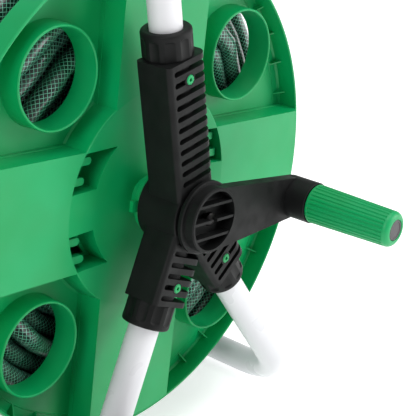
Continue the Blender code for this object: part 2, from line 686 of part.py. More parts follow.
def grip_pieces(grip):
    """The grip's own axis is the spindle's."""
    x0, x1 = CRANK_BOSS_END + GAP, CRANK_BOSS_END + GAP + GRIP_LENGTH
    bore = SPINDLE_R + RUNNING
    cup = GRIP_DISC_R + GAP
    round_over = 5 * MM
    profile = [(x0, bore), (x0, GRIP_R_INNER - 0.6 * MM), (x0 + 0.6 * MM, GRIP_R_INNER)]
    profile += [(x1 - round_over, GRIP_R_OUTER)]
    profile += [(x1 - round_over + round_over * math.sin(a), GRIP_R_OUTER - 5 * MM + 5 * MM * math.cos(a))
                for a in (math.radians(30), math.radians(60))]
    profile += [(x1, GRIP_R_OUTER - 5 * MM), (x1, cup), (x1 - 6 * MM, cup), (x1 - 6 * MM, bore)]
    node("crank_grip", turned(profile), GREEN, grip)
    node("grip_end_disc", ring(x1 - 3 * MM, x1 - 0.4 * MM, GRIP_DISC_R, 0), GREY, grip)


def grip_spindle(drum):
    """A steel pin in the crank's boss, headed inside the grip's end."""
    x0 = CRANK_BOSS_END - 21 * MM
    seat = CRANK_BOSS_END + GAP + GRIP_LENGTH - 6 * MM + GAP
    head = [(x0, 0), (x0, SPINDLE_R), (seat, SPINDLE_R), (seat, 7 * MM), (seat + 2 * MM, 7 * MM)]
    head += [(seat + 2 * MM, 0)]
    pin = turned(head, SMALL, (CRANK_THROW, 0))
    node("grip_spindle", pin, STEEL, drum)


# ------------------------------------------------------------ wheels and axle


def axle_brackets(root):
    """A cup over the rear leg's end, with an arm back to the axle's boss."""
    outer = TUBE_R + GAP + SOCKET_WALL
    low = REAR_LEG_END + 5 * MM
    cup = turned_to(upright(low - SOCKET_LENGTH, low, outer), REAR_LEG)
    foot = along(REAR_LEG, low - outer)
    axle = Vector((0, -AXLE_BACK, AXLE_Z))
    reach = (axle - foot).yz
    heading = math.atan2(reach[1], reach[0])
    outline = arc(outer - 3 * MM, heading + math.pi / 2, heading + 1.5 * math.pi, 6, foot.yz)
    outline += arc(AXLE_BOSS_R, heading - math.pi / 2, heading + math.pi / 2, 6, axle.yz)
    web = prism(outline, TUBE_X - 8 * MM, TUBE_X + 8 * MM)
    boss = ring(TUBE_X - AXLE_BOSS_R, TUBE_X + AXLE_BOSS_R, AXLE_BOSS_R, 0, ROUND, axle.yz)
    shape = combined(cup, [web, boss])
    bore = turned_to(upright(low - 2 * SOCKET_LENGTH, REAR_LEG_END + GAP, TUBE_R + GAP), REAR_LEG)
    hole = ring(TUBE_X - 2 * AXLE_BOSS_R, TUBE_X + 2 * AXLE_BOSS_R, AXLE_R + GAP, 0, SMALL, axle.yz)
    shape = cut(shape, [bore, hole])
    pair("axle_bracket", shape, BLACK, root)
    spacer = ring(TUBE_X + AXLE_BOSS_R + GAP, WHEEL_IN - GAP, AXLE_R + 4 * MM, AXLE_R + GAP, SMALL, axle.yz)
    pair("axle_spacer", spacer, BLACK, root)
    end = WHEEL_OUT + 6 * MM
    node("axle_rod", ring(2 * MID_X - end, end, AXLE_R, 0, SMALL, axle.yz), STEEL, root)
    nut = ring(WHEEL_OUT + GAP, WHEEL_OUT + 2.3 * MM, AXLE_R + 4 * MM, AXLE_R + GAP, SMALL, axle.yz)
    pair("axle_push_nut", nut, STEEL, root)


def wheel():
    """A moulded wheel: hub, web with six ribs, and a plain tread."""
    x0, x1 = WHEEL_IN, WHEEL_OUT
    middle = (x0 + x1) / 2
    bore = AXLE_R + RUNNING
    rim = WHEEL_R - 8 * MM
    edge = 2.5 * MM
    profile = [(x0, bore), (x0, WHEEL_HUB_R), (middle - 2 * MM, WHEEL_HUB_R + 1 * MM)]
    profile += [(middle - 2 * MM, rim), (x0 + 1 * MM, rim), (x0 + 1 * MM, WHEEL_R - edge)]
    profile += [(x0 + 1 * MM + edge, WHEEL_R)]
    profile += [(x1 - edge, WHEEL_R), (x1, WHEEL_R - edge), (x1, rim), (middle + 2 * MM, rim)]
    profile += [(middle + 2 * MM, WHEEL_HUB_R + 1 * MM), (x1, WHEEL_HUB_R), (x1, bore)]
    shape = turned(profile, 24)
    ribs = []
    for k in range(6):
        rib = block(x0 + 3 * MM, x1 - 3 * MM, WHEEL_HUB_R - 1 * MM, rim + 1 * MM, -1.5 * MM, 1.5 * MM)
        ribs.append(at_angle(rib, k * math.pi / 3))
    return combined(shape, ribs)


def wheels(right_axis, left_axis):
    shape = wheel()
    cap_in = WHEEL_OUT + 3 * MM
    profile = [(WHEEL_OUT + GAP, WHEEL_HUB_R - 2 * MM), (WHEEL_OUT + GAP, WHEEL_HUB_R + 2 * MM)]
    profile += [(cap_in + 3 * MM, WHEEL_HUB_R + 2 * MM), (cap_in + 6 * MM, WHEEL_HUB_R - 3 * MM)]
    profile += [(cap_in + 6 * MM, 0), (cap_in + 4 * MM, 0), (cap_in + 4 * MM, WHEEL_HUB_R - 4 * MM)]
    profile += [(cap_in + 2 * MM, WHEEL_HUB_R - 2 * MM)]
    cap = turned(profile, 20)
    node("wheel_left", other_side(shape), BLACK, left_axis)
    node("wheel_right", shape, BLACK, right_axis)
    node("wheel_cap_left", other_side(cap), GREEN, left_axis)
    node("wheel_cap_right", cap, GREEN, right_axis)


# --------------------------------------------------------------- water inlet


def water_inlet(root, drum):
    """A hollow nipple fixed in the left bracket, and the elbow that turns on it inside the drum."""
    left_front = 2 * MID_X - BRACKET_FRONT
    end = left_front - INLET_LENGTH
    seal_x = 2 * MID_X - JOURNAL_END + 26 * MM
    inner_end = ELBOW_X - 9 * MM
    groove = RING_SECTION + GAP
    groove_r = INLET_R - 2 * RING_SECTION - GAP
    barbs = [(left_front - 12 * MM, INLET_R), (left_front - 16 * MM, INLET_R - 2 * MM)]
    barbs += [(end + 10 * MM, INLET_R - 2 * MM), (end + 8 * MM, INLET_R - 0.4 * MM), (end, INLET_R - 2 * MM)]
    cap = JOURNAL_R + BUSH_WALL + 5 * MM
    profile = [(inner_end, INLET_BORE), (inner_end, INLET_R)]
    profile += [(seal_x + groove, INLET_R), (seal_x + groove, groove_r)]
    profile += [(seal_x - groove, groove_r), (seal_x - groove, INLET_R)]
    profile += [(left_front - GAP, INLET_R), (left_front - GAP, cap), (left_front - 5 * MM, cap)]
    profile += [(left_front - 7 * MM, cap - 3 * MM), (left_front - 7 * MM, INLET_R)] + barbs
    profile += [(end, INLET_BORE)]
    node("inlet_nipple", turned(profile, 20), BLACK, root)
    steps = 6
    section = [(seal_x + RING_SECTION * math.cos(a), INLET_R - RING_SECTION + RING_SECTION * math.sin(a))
               for a in (2 * math.pi * k / steps for k in range(steps))]
    node("inlet_seal", turned(section, 20), RUBBER, root)
    sleeve_r = JOURNAL_BORE - GAP
    back = inner_end + 22 * MM
    sleeve = [(seal_x - 10 * MM, INLET_R + RUNNING), (seal_x - 10 * MM, sleeve_r), (back, sleeve_r), (back, 0)]
    sleeve += [(back - 4 * MM, 0), (back - 4 * MM, INLET_R + RUNNING)]
    body = turned(sleeve, 20)
    pipe = on_tube_line(ring(0, CORE_R - CORE_WALL - 2 * MM, PIPE_R, 0, SMALL), ELBOW_X)
    bore = on_tube_line(ring(0, CORE_R, PIPE_BORE, 0, SMALL), ELBOW_X)
    room = ring(seal_x - 11 * MM, back - 4 * MM, INLET_R + RUNNING, 0, 20)
    node("swivel_elbow", cut(combined(body, [pipe]), [bore, room]), BLACK, drum)


def rest_on_ground(root):
    """Moves the cart so that its origin is at the bottom centre of its box."""
    bpy.context.view_layer.update()
    corners = []
    for obj in bpy.data.objects:
        if obj.type == "MESH":
            corners += [obj.matrix_world @ v.co for v in obj.data.vertices]
    low = Vector([min(c[k] for c in corners) for k in range(3)])
    high = Vector([max(c[k] for c in corners) for k in range(3)])
    root.location -= Vector(((low.x + high.x) / 2, (low.y + high.y) / 2, low.z))
    bpy.context.view_layer.update()
    print("size", [round(v, 5) for v in high - low])


def main():
    for obj in list(bpy.data.objects):
        bpy.data.objects.remove(obj)
    root = empty("cart")
    drum = empty("drum_axis", root, turn=DRUM_TURN)
    grip = empty("grip_axis", drum, (0, CRANK_THROW, 0))
    axle = (0, -AXLE_BACK, AXLE_Z)
    wheel_axes = [empty(f"wheel_{side}_axis", root, axle) for side in ("right", "left")]
    frame_tubes(root)
    hub_brackets(root)
    bearing_bushes(root)
    drum_pieces(drum)
    crank(drum)
    crank_bolt(drum)
    grip_spindle(drum)
    grip_pieces(grip)
    axle_brackets(root)
    wheels(*wheel_axes)
    water_inlet(root, drum)
    rest_on_ground(root)
    for axis in (drum, grip, *wheel_axes):
        print(axis.name, [round(v, 6) for v in axis.matrix_world.translation])
    for obj in bpy.data.objects:
        if obj.type == "MESH":
            print(obj.name, sum(len(p.vertices) - 2 for p in obj.data.polygons))


main()
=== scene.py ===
# Garden hose reel cart: a green moulded drum full of hose on a white bent-tube frame.
# Everything is modelled about the drum's axis, with x = 0 at the lips of the right flange's
# collars, and moved into place by place().
import json
from math import asin, atan, atan2, cos, exp, hypot, pi, radians, sin

import bpy
from mathutils import Matrix, Vector


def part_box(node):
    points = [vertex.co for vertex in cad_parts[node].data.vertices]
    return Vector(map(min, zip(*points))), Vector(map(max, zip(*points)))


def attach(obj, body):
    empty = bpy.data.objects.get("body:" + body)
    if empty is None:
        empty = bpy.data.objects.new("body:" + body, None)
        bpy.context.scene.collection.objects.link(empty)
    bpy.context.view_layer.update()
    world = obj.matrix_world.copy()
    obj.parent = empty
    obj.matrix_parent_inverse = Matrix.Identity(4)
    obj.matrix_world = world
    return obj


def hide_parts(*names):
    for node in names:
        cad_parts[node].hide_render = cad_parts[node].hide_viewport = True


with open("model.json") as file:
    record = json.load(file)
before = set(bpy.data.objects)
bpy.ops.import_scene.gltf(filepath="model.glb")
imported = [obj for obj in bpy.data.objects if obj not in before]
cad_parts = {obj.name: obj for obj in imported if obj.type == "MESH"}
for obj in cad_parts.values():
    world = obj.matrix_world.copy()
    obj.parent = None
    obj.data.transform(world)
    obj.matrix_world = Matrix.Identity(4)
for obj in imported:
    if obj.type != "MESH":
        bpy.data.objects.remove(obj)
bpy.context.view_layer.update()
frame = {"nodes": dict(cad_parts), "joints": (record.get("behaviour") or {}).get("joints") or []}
mm = 0.001

joints = {joint["name"]: joint for joint in frame["joints"]}
drumAxis = Vector(joints["drum_spin"]["pos_m"])
gripAxis = Vector(joints["grip_spin"]["pos_m"])
axleAxis = Vector(joints["right_wheel_spin"]["pos_m"])
throw = (gripAxis - drumAxis).yz.length
drumTurn = atan2(gripAxis.z - drumAxis.z, gripAxis.y - drumAxis.y)
middle = (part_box("flange_left")[0].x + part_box("flange_right")[1].x) / 2 - drumAxis.x

# Directions of the frame's three tubes, turned about +X from straight up
lean = {"handle": radians(3), "rear": radians(150), "front": radians(210)}


# Small helpers, each one an operator or two that any piece needs


def clear():
    # object mode, with nothing selected
    if bpy.context.mode != "OBJECT":
        bpy.ops.object.mode_set(mode="OBJECT")
    bpy.ops.object.select_all(action="DESELECT")


def only(obj):
    clear()
    obj.select_set(True)
    bpy.context.view_layer.objects.active = obj


def editAll(obj):
    only(obj)
    bpy.ops.object.mode_set(mode="EDIT")
    bpy.ops.mesh.select_all(action="SELECT")


def drawn(points):
    # one vertex, extruded from point to point
    clear()
    bpy.ops.mesh.primitive_plane_add(size=mm)
    obj = bpy.context.object
    bpy.ops.object.mode_set(mode="EDIT")
    bpy.ops.mesh.select_all(action="SELECT")
    bpy.ops.mesh.merge(type="CENTER")
    bpy.ops.transform.translate(value=points[0])
    for here, there in zip(points, points[1:]):
        bpy.ops.mesh.extrude_vertices_move(TRANSFORM_OT_translate={"value": there - here})
    return obj


def tidied(obj):
    # doubles merged, faces outwards, back in object mode
    bpy.ops.mesh.select_all(action="SELECT")
    bpy.ops.mesh.remove_doubles(threshold=0.001 * mm)
    bpy.ops.mesh.normals_make_consistent(inside=False)
    bpy.ops.object.mode_set(mode="OBJECT")
    return obj


def turned(outline, sides=96, centre=(0, 0)):
    # (x, radius) outline in millimetres, spun about the X axis or a line beside it
    y, z = centre
    points = [Vector((x * mm, y, z + r * mm)) for x, r in outline]
    obj = drawn(points + points[:1])
    bpy.ops.mesh.select_all(action="SELECT")
    bpy.ops.mesh.remove_doubles(threshold=0.001 * mm)
    bpy.ops.mesh.spin(steps=sides, angle=2 * pi, center=(0, y, z), axis=(1, 0, 0))
    return tidied(obj)


def extruded(points, step):
    # a closed outline of points in millimetres, filled and pulled out by step
    obj = drawn([Vector(p) * mm for p in points])
    bpy.ops.mesh.select_all(action="SELECT")
    bpy.ops.mesh.edge_face_add()
    bpy.ops.mesh.extrude_region_move(TRANSFORM_OT_translate={"value": Vector(step) * mm})
    return tidied(obj)


def arc(radius, start, end, steps, centre=(0, 0)):
    angles = [start + (end - start) * k / steps for k in range(steps + 1)]
    return [(centre[0] + radius * cos(a), centre[1] + radius * sin(a)) for a in angles]


def piped(points, radius, resolution, capped=False):
    # a line of points in millimetres, made a round pipe
    drawn([Vector(p) * mm for p in points])
    bpy.ops.object.mode_set(mode="OBJECT")
    bpy.ops.object.convert(target="CURVE")
    line = bpy.context.object.data
    line.bevel_depth = radius * mm
    line.bevel_resolution = resolution
    line.use_fill_caps = capped
    bpy.ops.object.convert(target="MESH")
    obj = bpy.context.object
    editAll(obj)
    return tidied(obj)


def applied(obj):
    # its place, turn and size go into its mesh
    only(obj)
    bpy.ops.object.transform_apply(location=True, rotation=True, scale=True)
    return obj


def rolled(obj, angle):
    # turned about the drum's axis
    obj.rotation_euler.x = angle
    return applied(obj)


def stood(obj, x):
    # from lying along X to standing along Z, over x
    obj.rotation_euler.y = -pi / 2
    obj.location.x = x * mm
    return applied(obj)


def joined(objs):
    only(objs[0])
    for obj in objs[1:]:
        obj.select_set(True)
    bpy.ops.object.join()
    return objs[0]


def boolean(obj, tool, operation):
    only(obj)
    step = obj.modifiers.new("boolean", "BOOLEAN")
    step.operation = operation
    step.object = tool
    step.solver = "EXACT"
    bpy.ops.object.modifier_apply(modifier=step.name)
    bpy.data.objects.remove(tool)
    return obj


def added(obj, *tools):
    for tool in tools:
        boolean(obj, tool, "UNION")
    return obj


def cutBy(obj, *tools):
    for tool in tools:
        boolean(obj, tool, "DIFFERENCE")
    return obj


def softened(obj, width=0.6):
    # flat faces made whole again, then every edge sharper than 32 degrees is rounded
    editAll(obj)
    bpy.ops.mesh.remove_doubles(threshold=0.003 * mm)
    bpy.ops.mesh.dissolve_limited(angle_limit=radians(0.4))
    bpy.ops.object.mode_set(mode="OBJECT")
    bevel = obj.modifiers.new("bevel", "BEVEL")
    bevel.width = width * mm
    bevel.segments = 2
    bevel.limit_method = "ANGLE"
    bevel.angle_limit = radians(32)
    bevel.use_clamp_overlap = True
    bpy.ops.object.modifier_apply(modifier=bevel.name)
    return obj


def copied(obj):
    only(obj)
    bpy.ops.object.duplicate()
    return bpy.context.object


def otherSide(obj):
    # a mirrored copy on the left side of the cart
    twin = copied(obj)
    twin.scale.x = -1
    twin.location.x = 2 * middle
    editAll(applied(twin))
    return tidied(twin)


def place(obj, name, body, material, node, turn=0.0):
    # from the drum's axis into the cart's frame, then dressed
    obj.rotation_euler.x = turn
    obj.location = drumAxis
    applied(obj)
    bpy.ops.object.shade_smooth_by_angle(angle=radians(30))
    weigh = obj.modifiers.new("weigh", "WEIGHTED_NORMAL")
    weigh.keep_sharp = True
    bpy.ops.object.modifier_apply(modifier=weigh.name)
    return dressed(obj, name, body, material, node)


def dressed(obj, name, body, material, node):
    # named, in its material, riding on its body and standing for its CAD node
    obj.name = name
    obj.data.name = name
    obj.data.materials.clear()
    obj.data.materials.append(material)
    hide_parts(node)
    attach(obj, body)
    return obj


def placePair(obj, name, body, material):
    # the same piece on both sides, each standing for the CAD node of its side
    twin = otherSide(obj)
    place(twin, f"{name}Left", body, material, f"{nodeName(name)}_left")
    place(obj, f"{name}Right", body, material, f"{nodeName(name)}_right")


def nodeName(name):
    return "".join("_" + c.lower() if c.isupper() else c for c in name)


# Camera


camera = {
    "place": (592.1, -615.1, 432.7),  # from the drum's axis, in millimetres
    "aim": (-0.5769, 0.6728, -0.4633),
    "roll": 1.7,  # degrees, clockwise
    "lens": 103.59,
}


def makeCamera():
    bpy.ops.object.camera_add()
    obj = bpy.context.object
    obj.data.lens = camera["lens"]
    obj.data.sensor_width = 36
    ahead = Vector(camera["aim"]).normalized()
    level = ahead.to_track_quat("-Z", "Y").to_matrix()
    roll = Matrix.Rotation(-radians(camera["roll"]), 3, "Z")
    obj.rotation_euler = (level @ roll).to_euler()
    obj.location = drumAxis + Vector(camera["place"]) * mm
    obj.data.clip_start = 0.01
    bpy.context.scene.camera = obj


makeCamera()


# Materials


def linear(hexCode):
    # sRGB hex to a linear colour
    channels = [int(hexCode[k:k + 2], 16) / 255 for k in (1, 3, 5)]
    made = [c / 12.92 if c <= 0.04045 else ((c + 0.055) / 1.055) ** 2.4 for c in channels]
    return (*made, 1.0)


def addNode(tree, kind, settings=None, **links):
    # a node with its settings, and its inputs linked or set; a double underscore is a space
    made = tree.nodes.new(kind)
    for key, value in (settings or {}).items():
        setattr(made, key, value)
    for key, value in links.items():
        name = key.replace("__", " ")
        socket = made.inputs[int(name[1:])] if name[1:].isdigit() else made.inputs[name]
        if isinstance(value, bpy.types.NodeSocket):
            tree.links.new(value, socket)
        else:
            socket.default_value = value
    return made


def newMaterial(name, colour, roughness, metallic=0.0, ior=None, specular=0.5):
    material = bpy.data.materials.new(name)
    material.use_nodes = True
    tree = material.node_tree
    shader = tree.nodes["Principled BSDF"]
    shader.inputs["Base Color"].default_value = linear(colour)
    shader.inputs["Roughness"].default_value = roughness
    shader.inputs["Metallic"].default_value = metallic
    shader.inputs["Specular IOR Level"].default_value = specular
    if ior:
        shader.inputs["IOR"].default_value = ior
    spot = addNode(tree, "ShaderNodeTexCoord").outputs["Object"]
    return material, tree, shader, spot


def grain(tree, spot, size, detail=2.0, stretch=(1, 1, 1)):
    # noise whose spots are about this many millimetres across
    mapped = addNode(tree, "ShaderNodeMapping", Vector=spot, Scale=stretch)
    scale = 1 / (size * mm)
    noise = addNode(tree, "ShaderNodeTexNoise", Vector=mapped.outputs[0], Scale=scale, Detail=detail)
    return noise.outputs["Fac"]


def mixedColour(tree, factor, first, second):
    # sockets 0, 6 and 7 are the colour mix's factor and colours
    first, second = (linear(c) if isinstance(c, str) else c for c in (first, second))
    return addNode(tree, "ShaderNodeMix", {"data_type": "RGBA"}, i0=factor, i6=first, i7=second).outputs[2]


def ranged(tree, value, low, high, fromLow=0.35, fromHigh=0.65):
    # steered between two values, as noise hardly leaves its middle third
    made = addNode(tree, "ShaderNodeMapRange", Value=value)
    for socket, number in zip(made.inputs[1:5], (fromLow, fromHigh, low, high)):
        socket.default_value = number
    return made.outputs[0]


def clouded(tree, shader, shade, first, second):
    # the base colour drifts between two close shades
    colour = mixedColour(tree, ranged(tree, shade, 0, 1), first, second)
    tree.links.new(colour, shader.inputs["Base Color"])


def roughened(tree, shader, shade, low, high):
    tree.links.new(ranged(tree, shade, low, high), shader.inputs["Roughness"])


def bumped(tree, shader, height, depth, strength):
    # depth in millimetres
    bump = addNode(tree, "ShaderNodeBump", Height=height, Distance=depth * mm, Strength=strength)
    tree.links.new(bump.outputs[0], shader.inputs["Normal"])


def mouldedGreen():
    # polypropylene, injection moulded in a spark-eroded tool: satin, with a very fine grain
    # and a slightly cloudy colour
    material, tree, shader, spot = newMaterial("polypropyleneGreen", "#009854", 0.4, ior=1.49, specular=0.4)
    clouded(tree, shader, grain(tree, spot, 60), "#009450", "#009C5A")
    roughened(tree, shader, grain(tree, spot, 22), 0.34, 0.46)
    bumped(tree, shader, grain(tree, spot, 0.9, 3), 0.03, 0.5)
    return material


def mouldedBlack():
    # glass-filled polypropylene with an etched texture: dark grey-black, mostly matt, with a
    # broad weak sheen that shows its fine pebbling
    material, tree, shader, spot = newMaterial("polypropyleneBlack", "#141516", 0.5, ior=1.49, specular=0.16)
    clouded(tree, shader, grain(tree, spot, 25), "#111212", "#171818")
    roughened(tree, shader, grain(tree, spot, 12), 0.42, 0.58)
    bumped(tree, shader, grain(tree, spot, 0.8, 3), 0.06, 0.6)
    return material


def powderWhite():
    # polyester powder coat on steel tube: even white with a faint orange peel under its gloss
    material, tree, shader, spot = newMaterial("powderCoatWhite", "#D8D8DC", 0.35, ior=1.5)
    clouded(tree, shader, grain(tree, spot, 80), "#D4D4D8", "#DBDBDE")
    roughened(tree, shader, grain(tree, spot, 30), 0.26, 0.36)
    bumped(tree, shader, grain(tree, spot, 2.2, 1), 0.03, 0.5)
    return material


def oxideSteel():
    # steel bolt with a black oxide finish: dark grey metal, slightly brown where it is worn
    material, tree, shader, spot = newMaterial("blackOxideSteel", "#17171A", 0.6, 1.0)
    clouded(tree, shader, grain(tree, spot, 4), "#141416", "#1E1C1B")
    roughened(tree, shader, grain(tree, spot, 1.5), 0.38, 0.55)
    return material


def zincSteel():
    # steel with bright zinc plating: blue-grey metal with fine draw marks along it
    material, tree, shader, spot = newMaterial("zincPlatedSteel", "#C2C6CB", 0.32, 1.0)
    clouded(tree, shader, grain(tree, spot, 7), "#B8BCC2", "#CDD0D4")
    lines = grain(tree, spot, 0.7, 2, (0.08, 1, 1))
    roughened(tree, shader, lines, 0.24, 0.44)
    bumped(tree, shader, lines, 0.01, 0.4)
    return material


def discGrey():
    # ABS cap in mid grey, moulded with a fine matt texture
    material, tree, shader, spot = newMaterial("absGrey", "#4A484A", 0.6, ior=1.53)
    clouded(tree, shader, grain(tree, spot, 6), "#464446", "#4F4D4F")
    bumped(tree, shader, grain(tree, spot, 0.6, 2), 0.05, 0.6)
    return material


def acetalWhite():
    # natural acetal bush: milky white with a waxy sheen and turning marks
    material, tree, shader, spot = newMaterial("acetalWhite", "#E6E5E0", 0.35, ior=1.48)
    rings = grain(tree, spot, 0.8, 1, (1, 0.05, 0.05))
    clouded(tree, shader, rings, "#E1E0DA", "#EAE9E5")
    bumped(tree, shader, rings, 0.01, 0.4)
    return material


def sealRubber():
    # nitrile rubber ring: black and dull, with a dusty bloom
    material, tree, shader, spot = newMaterial("nitrileRubber", "#111111", 0.75, ior=1.52)
    clouded(tree, shader, grain(tree, spot, 2), "#0E0E0E", "#1B1B1B")
    return material


def gripFoam():
    # nitrile foam sleeve: soft matt black with tiny open cells
    material, tree, shader, spot = newMaterial("nitrileFoam", "#191919", 0.85, ior=1.5)
    cells = addNode(tree, "ShaderNodeTexVoronoi", Vector=spot, Scale=1 / (1.1 * mm))
    shade = ranged(tree, cells.outputs["Distance"], 0, 1, 0.1, 0.6)
    tree.links.new(mixedColour(tree, shade, "#101010", "#222223"), shader.inputs["Base Color"])
    bumped(tree, shader, cells.outputs["Distance"], 0.15, 0.7)
    return material


def tyreBlack():
    # blow-moulded polyethylene wheel: black, a little waxy, dusty on its tread
    material, tree, shader, spot = newMaterial("polyethyleneBlack", "#1B1B1C", 0.55, ior=1.51)
    clouded(tree, shader, grain(tree, spot, 14, 4), "#171718", "#2A2927")
    roughened(tree, shader, grain(tree, spot, 5), 0.45, 0.68)
    bumped(tree, shader, grain(tree, spot, 1.2, 3), 0.08, 0.6)
    return material


green, black, white, zinc = mouldedGreen(), mouldedBlack(), powderWhite(), zincSteel()
grey, acetal, rubber, foam, tyre = discGrey(), acetalWhite(), sealRubber(), gripFoam(), tyreBlack()
oxide = oxideSteel()
print("materials made")


# Flanges


flange = {
    "radius": 204.2,
    "rimWall": 2.2,
    "back": -21.5,
    "floor": -18.5,
    "top": 4.5,  # of the beams and of the bowl's crest
    "beamHalf": 48,
    "beamBlock": (60, 150),  # start and length, before it is cut to the flange's profile
    "draft": 1.3,  # how much further out a beam's foot is than its top
    "slope": 5,  # width of a beam's fall to the rim
    "crest": 90.5,
    "bowlDepth": 5.3,
    "neck": 15.5,
    "boss": 26,
    "bossFront": 14.5,
    "bossLip": 4,
    "tab": (31, 9),  # reach and width
    "journal": (13, 17, 48),  # bore, radius and end
    "collarCentre": 148.9,
    "collar": 39.1,
    "collarWall": 2,
    "pocket": (62.3, 89.8, 16.5, 47.2),  # inner and outer radius, near and far line
    "gussetEvery": 9,  # degrees
    "gusset": (9, 7.5, 1.3),  # reach, height and thickness
}


def flangeProfile():
    f = flange
    rim = f["radius"] - f["rimWall"]
    bore, journal, end = f["journal"]
    line = [(f["back"], bore), (f["back"], f["radius"] - 0.8), (f["back"] + 0.8, f["radius"])]
    line += [(-0.9, f["radius"]), (0, f["radius"] - 0.8), (0, rim + 0.6), (-0.7, rim)]
    line += [(f["floor"] + 1.5, rim - 0.9), (f["floor"], rim - 2.4), (f["floor"], rim - 8.6)]
    line += [(f["floor"] + 0.5, rim - 9), (f["floor"] + 0.5, rim - 9.5), (f["floor"], rim - 9.9)]
    foot = f["crest"] + 1.6
    line += [(f["floor"], foot + 1.6), (f["floor"] + 1.4, foot), (-6, f["crest"] + 0.9)]
    edge, inner = f["crest"] - 1, f["neck"] + 1
    line += [(f["top"] - 1.2, f["crest"] + 0.3), (f["top"] - 0.3, f["crest"] - 0.2), (f["top"], edge)]
    for k in range(1, 13):  # the bowl, flattening towards the hub
        t = k / 12
        line.append((f["top"] - f["bowlDepth"] * t * (1.5 - 0.5 * t), edge + (inner - edge) * t))
    lip = f["bossFront"] - f["bossLip"]
    line += [(lip, f["neck"]), (lip, f["boss"] - 0.4), (lip + 0.4, f["boss"])]
    line += [(f["bossFront"] - 0.8, f["boss"]), (f["bossFront"], f["boss"] - 0.8)]
    line += [(f["bossFront"], journal), (end - 0.8, journal), (end, journal - 0.8), (end, bore)]
    return line


def beam():
    # one of the four raised beams, along +Y, with draft on its sides and a line low on them
    f = flange
    half, foot = f["beamHalf"], f["beamHalf"] + f["draft"]
    side = [(f["back"] + 1, foot + 0.5), (f["floor"] + 4, foot + 0.3), (f["floor"] + 4, foot - 0.2)]
    side += [(f["top"] + 1, half)]
    start, length = f["beamBlock"]
    points = [(x, start, z) for x, z in side] + [(x, start, -z) for x, z in reversed(side)]
    block = extruded(points, (0, length, 0))
    rim = f["radius"] - f["rimWall"]
    cap = [(f["back"] + 0.5, f["crest"] - 1.5), (f["back"] + 0.5, rim + 1), (-0.5, rim + 1)]
    cap += [(-0.9, rim - 0.3), (f["top"] - 0.1, rim - f["slope"]), (f["top"] - 0.1, f["crest"] - 1.5)]
    return boolean(block, turned(cap, 160), "INTERSECT")


def gussets():
    # thin triangles at the foot of the rim's wall, between the beams
    f = flange
    rim = f["radius"] - f["rimWall"] - 0.4
    reach, height, thick = f["gusset"]
    made = []
    for quarter in range(4):
        for k in range(-3, 4):
            angle = pi / 4 + quarter * pi / 2 + radians(f["gussetEvery"]) * k
            corners = [(f["floor"] - 1, rim + 1), (f["floor"] - 1, rim - reach)]
            corners += [(f["floor"] + 0.5, rim - reach), (f["floor"] + height, rim - 1)]
            corners += [(f["floor"] + height, rim + 1)]
            fin = extruded([(x, y, -thick / 2) for x, y in corners], (0, 0, thick))
            made.append(rolled(fin, angle))
    return joined(made)


def pocketOutline(grow, up, out):
    inner, outer, near, far = flange["pocket"]
    inner, outer, near, far = inner - grow, outer + grow, near - grow, far + grow
    line = arc(outer, asin(near / outer), asin(far / outer), 12)
    line += arc(inner, asin(far / inner), asin(near / inner), 12)
    return [(0, out * y, up * z) for y, z in line]


def makeFlange():
    f = flange
    body = turned(flangeProfile(), 180)
    for quarter in range(4):
        added(body, rolled(beam(), quarter * pi / 2))
    reach, width = f["tab"]
    for side in (1, -1):
        lip = f["bossFront"] - f["bossLip"] + 0.2
        square = [(lip, side * 20, -width / 2), (lip, side * reach, -width / 2)]
        square += [(lip, side * reach, width / 2), (lip, side * 20, width / 2)]
        added(body, extruded(square, (f["bossLip"] - 0.5, 0, 0)))
    centre = f["collarCentre"] * mm
    for quarter in range(4):
        angle = pi / 4 + quarter * pi / 2
        spot = (centre * cos(angle), centre * sin(angle))
        r = f["collar"]
        wall = [(f["back"] + 0.7, 0), (f["back"] + 0.7, r + 1.6), (f["floor"] + 1.2, r + 0.6)]
        added(body, turned(wall + [(-0.8, r), (0, r - 0.6), (0, 0)], 96, spot))
        inside = r - f["collarWall"]
        hole = [(f["back"] - 1, 0), (f["back"] - 1, inside - 0.8), (-0.7, inside)]
        cutBy(body, turned(hole + [(0.2, inside + 0.8), (2, inside + 0.8), (2, 0)], 96, spot))
    added(body, gussets())
    for up in (1, -1):
        for out in (1, -1):
            # the pocket's floor is open to the drum, round the hooks
            outline = [(f["floor"], y, z) for x, y, z in pocketOutline(0, up, out)]
            cutBy(body, extruded(outline, (40, 0, 0)))
            floorHole = [(f["back"] - 1, y, z) for x, y, z in pocketOutline(-2.5, up, out)]
            cutBy(body, extruded(floorHole, (4, 0, 0)))
    softened(body, 0.55)
    left = otherSide(body)
    place(body, "flangeRight", "drum", green, "flange_right", drumTurn)
    place(left, "flangeLeft", "drum", green, "flange_left", drumTurn)


makeFlange()
print("flanges made")


# Drum core and its snap hooks


core = {
    "radius": 88,
    "wall": 3,
    "gap": 0.3,
    "hookWidth": 6.5,
    "hookReach": 13,
    "hookTop": -0.5,
    "hookThick": 5,
    "hookShares": (0.24, 0.74),  # where the hooks stand across a pocket
}


def hook():
    # a stem through the plate with a finger bent in over the pocket's floor, at +Y
    c = core
    half = c["hookWidth"] / 2
    tip = c["radius"] - c["hookReach"]
    root = c["radius"] - 0.6
    outline = [(root, -half), *arc(half, -pi / 2, -1.5 * pi, 12, (tip + half, 0)), (root, half)]
    finger = [(c["hookTop"], y, z) for y, z in outline]
    top = extruded(finger, (-c["hookThick"], 0, 0))
    low = c["radius"] - c["wall"] + 0.4
    foot, head = flange["back"] - 12, c["hookTop"] - 0.2
    stem = [(foot, low, -half), (head, low, -half), (head, root, -half), (foot, root, -half)]
    return softened(added(extruded(stem, (0, 0, c["hookWidth"])), top), 0.5)


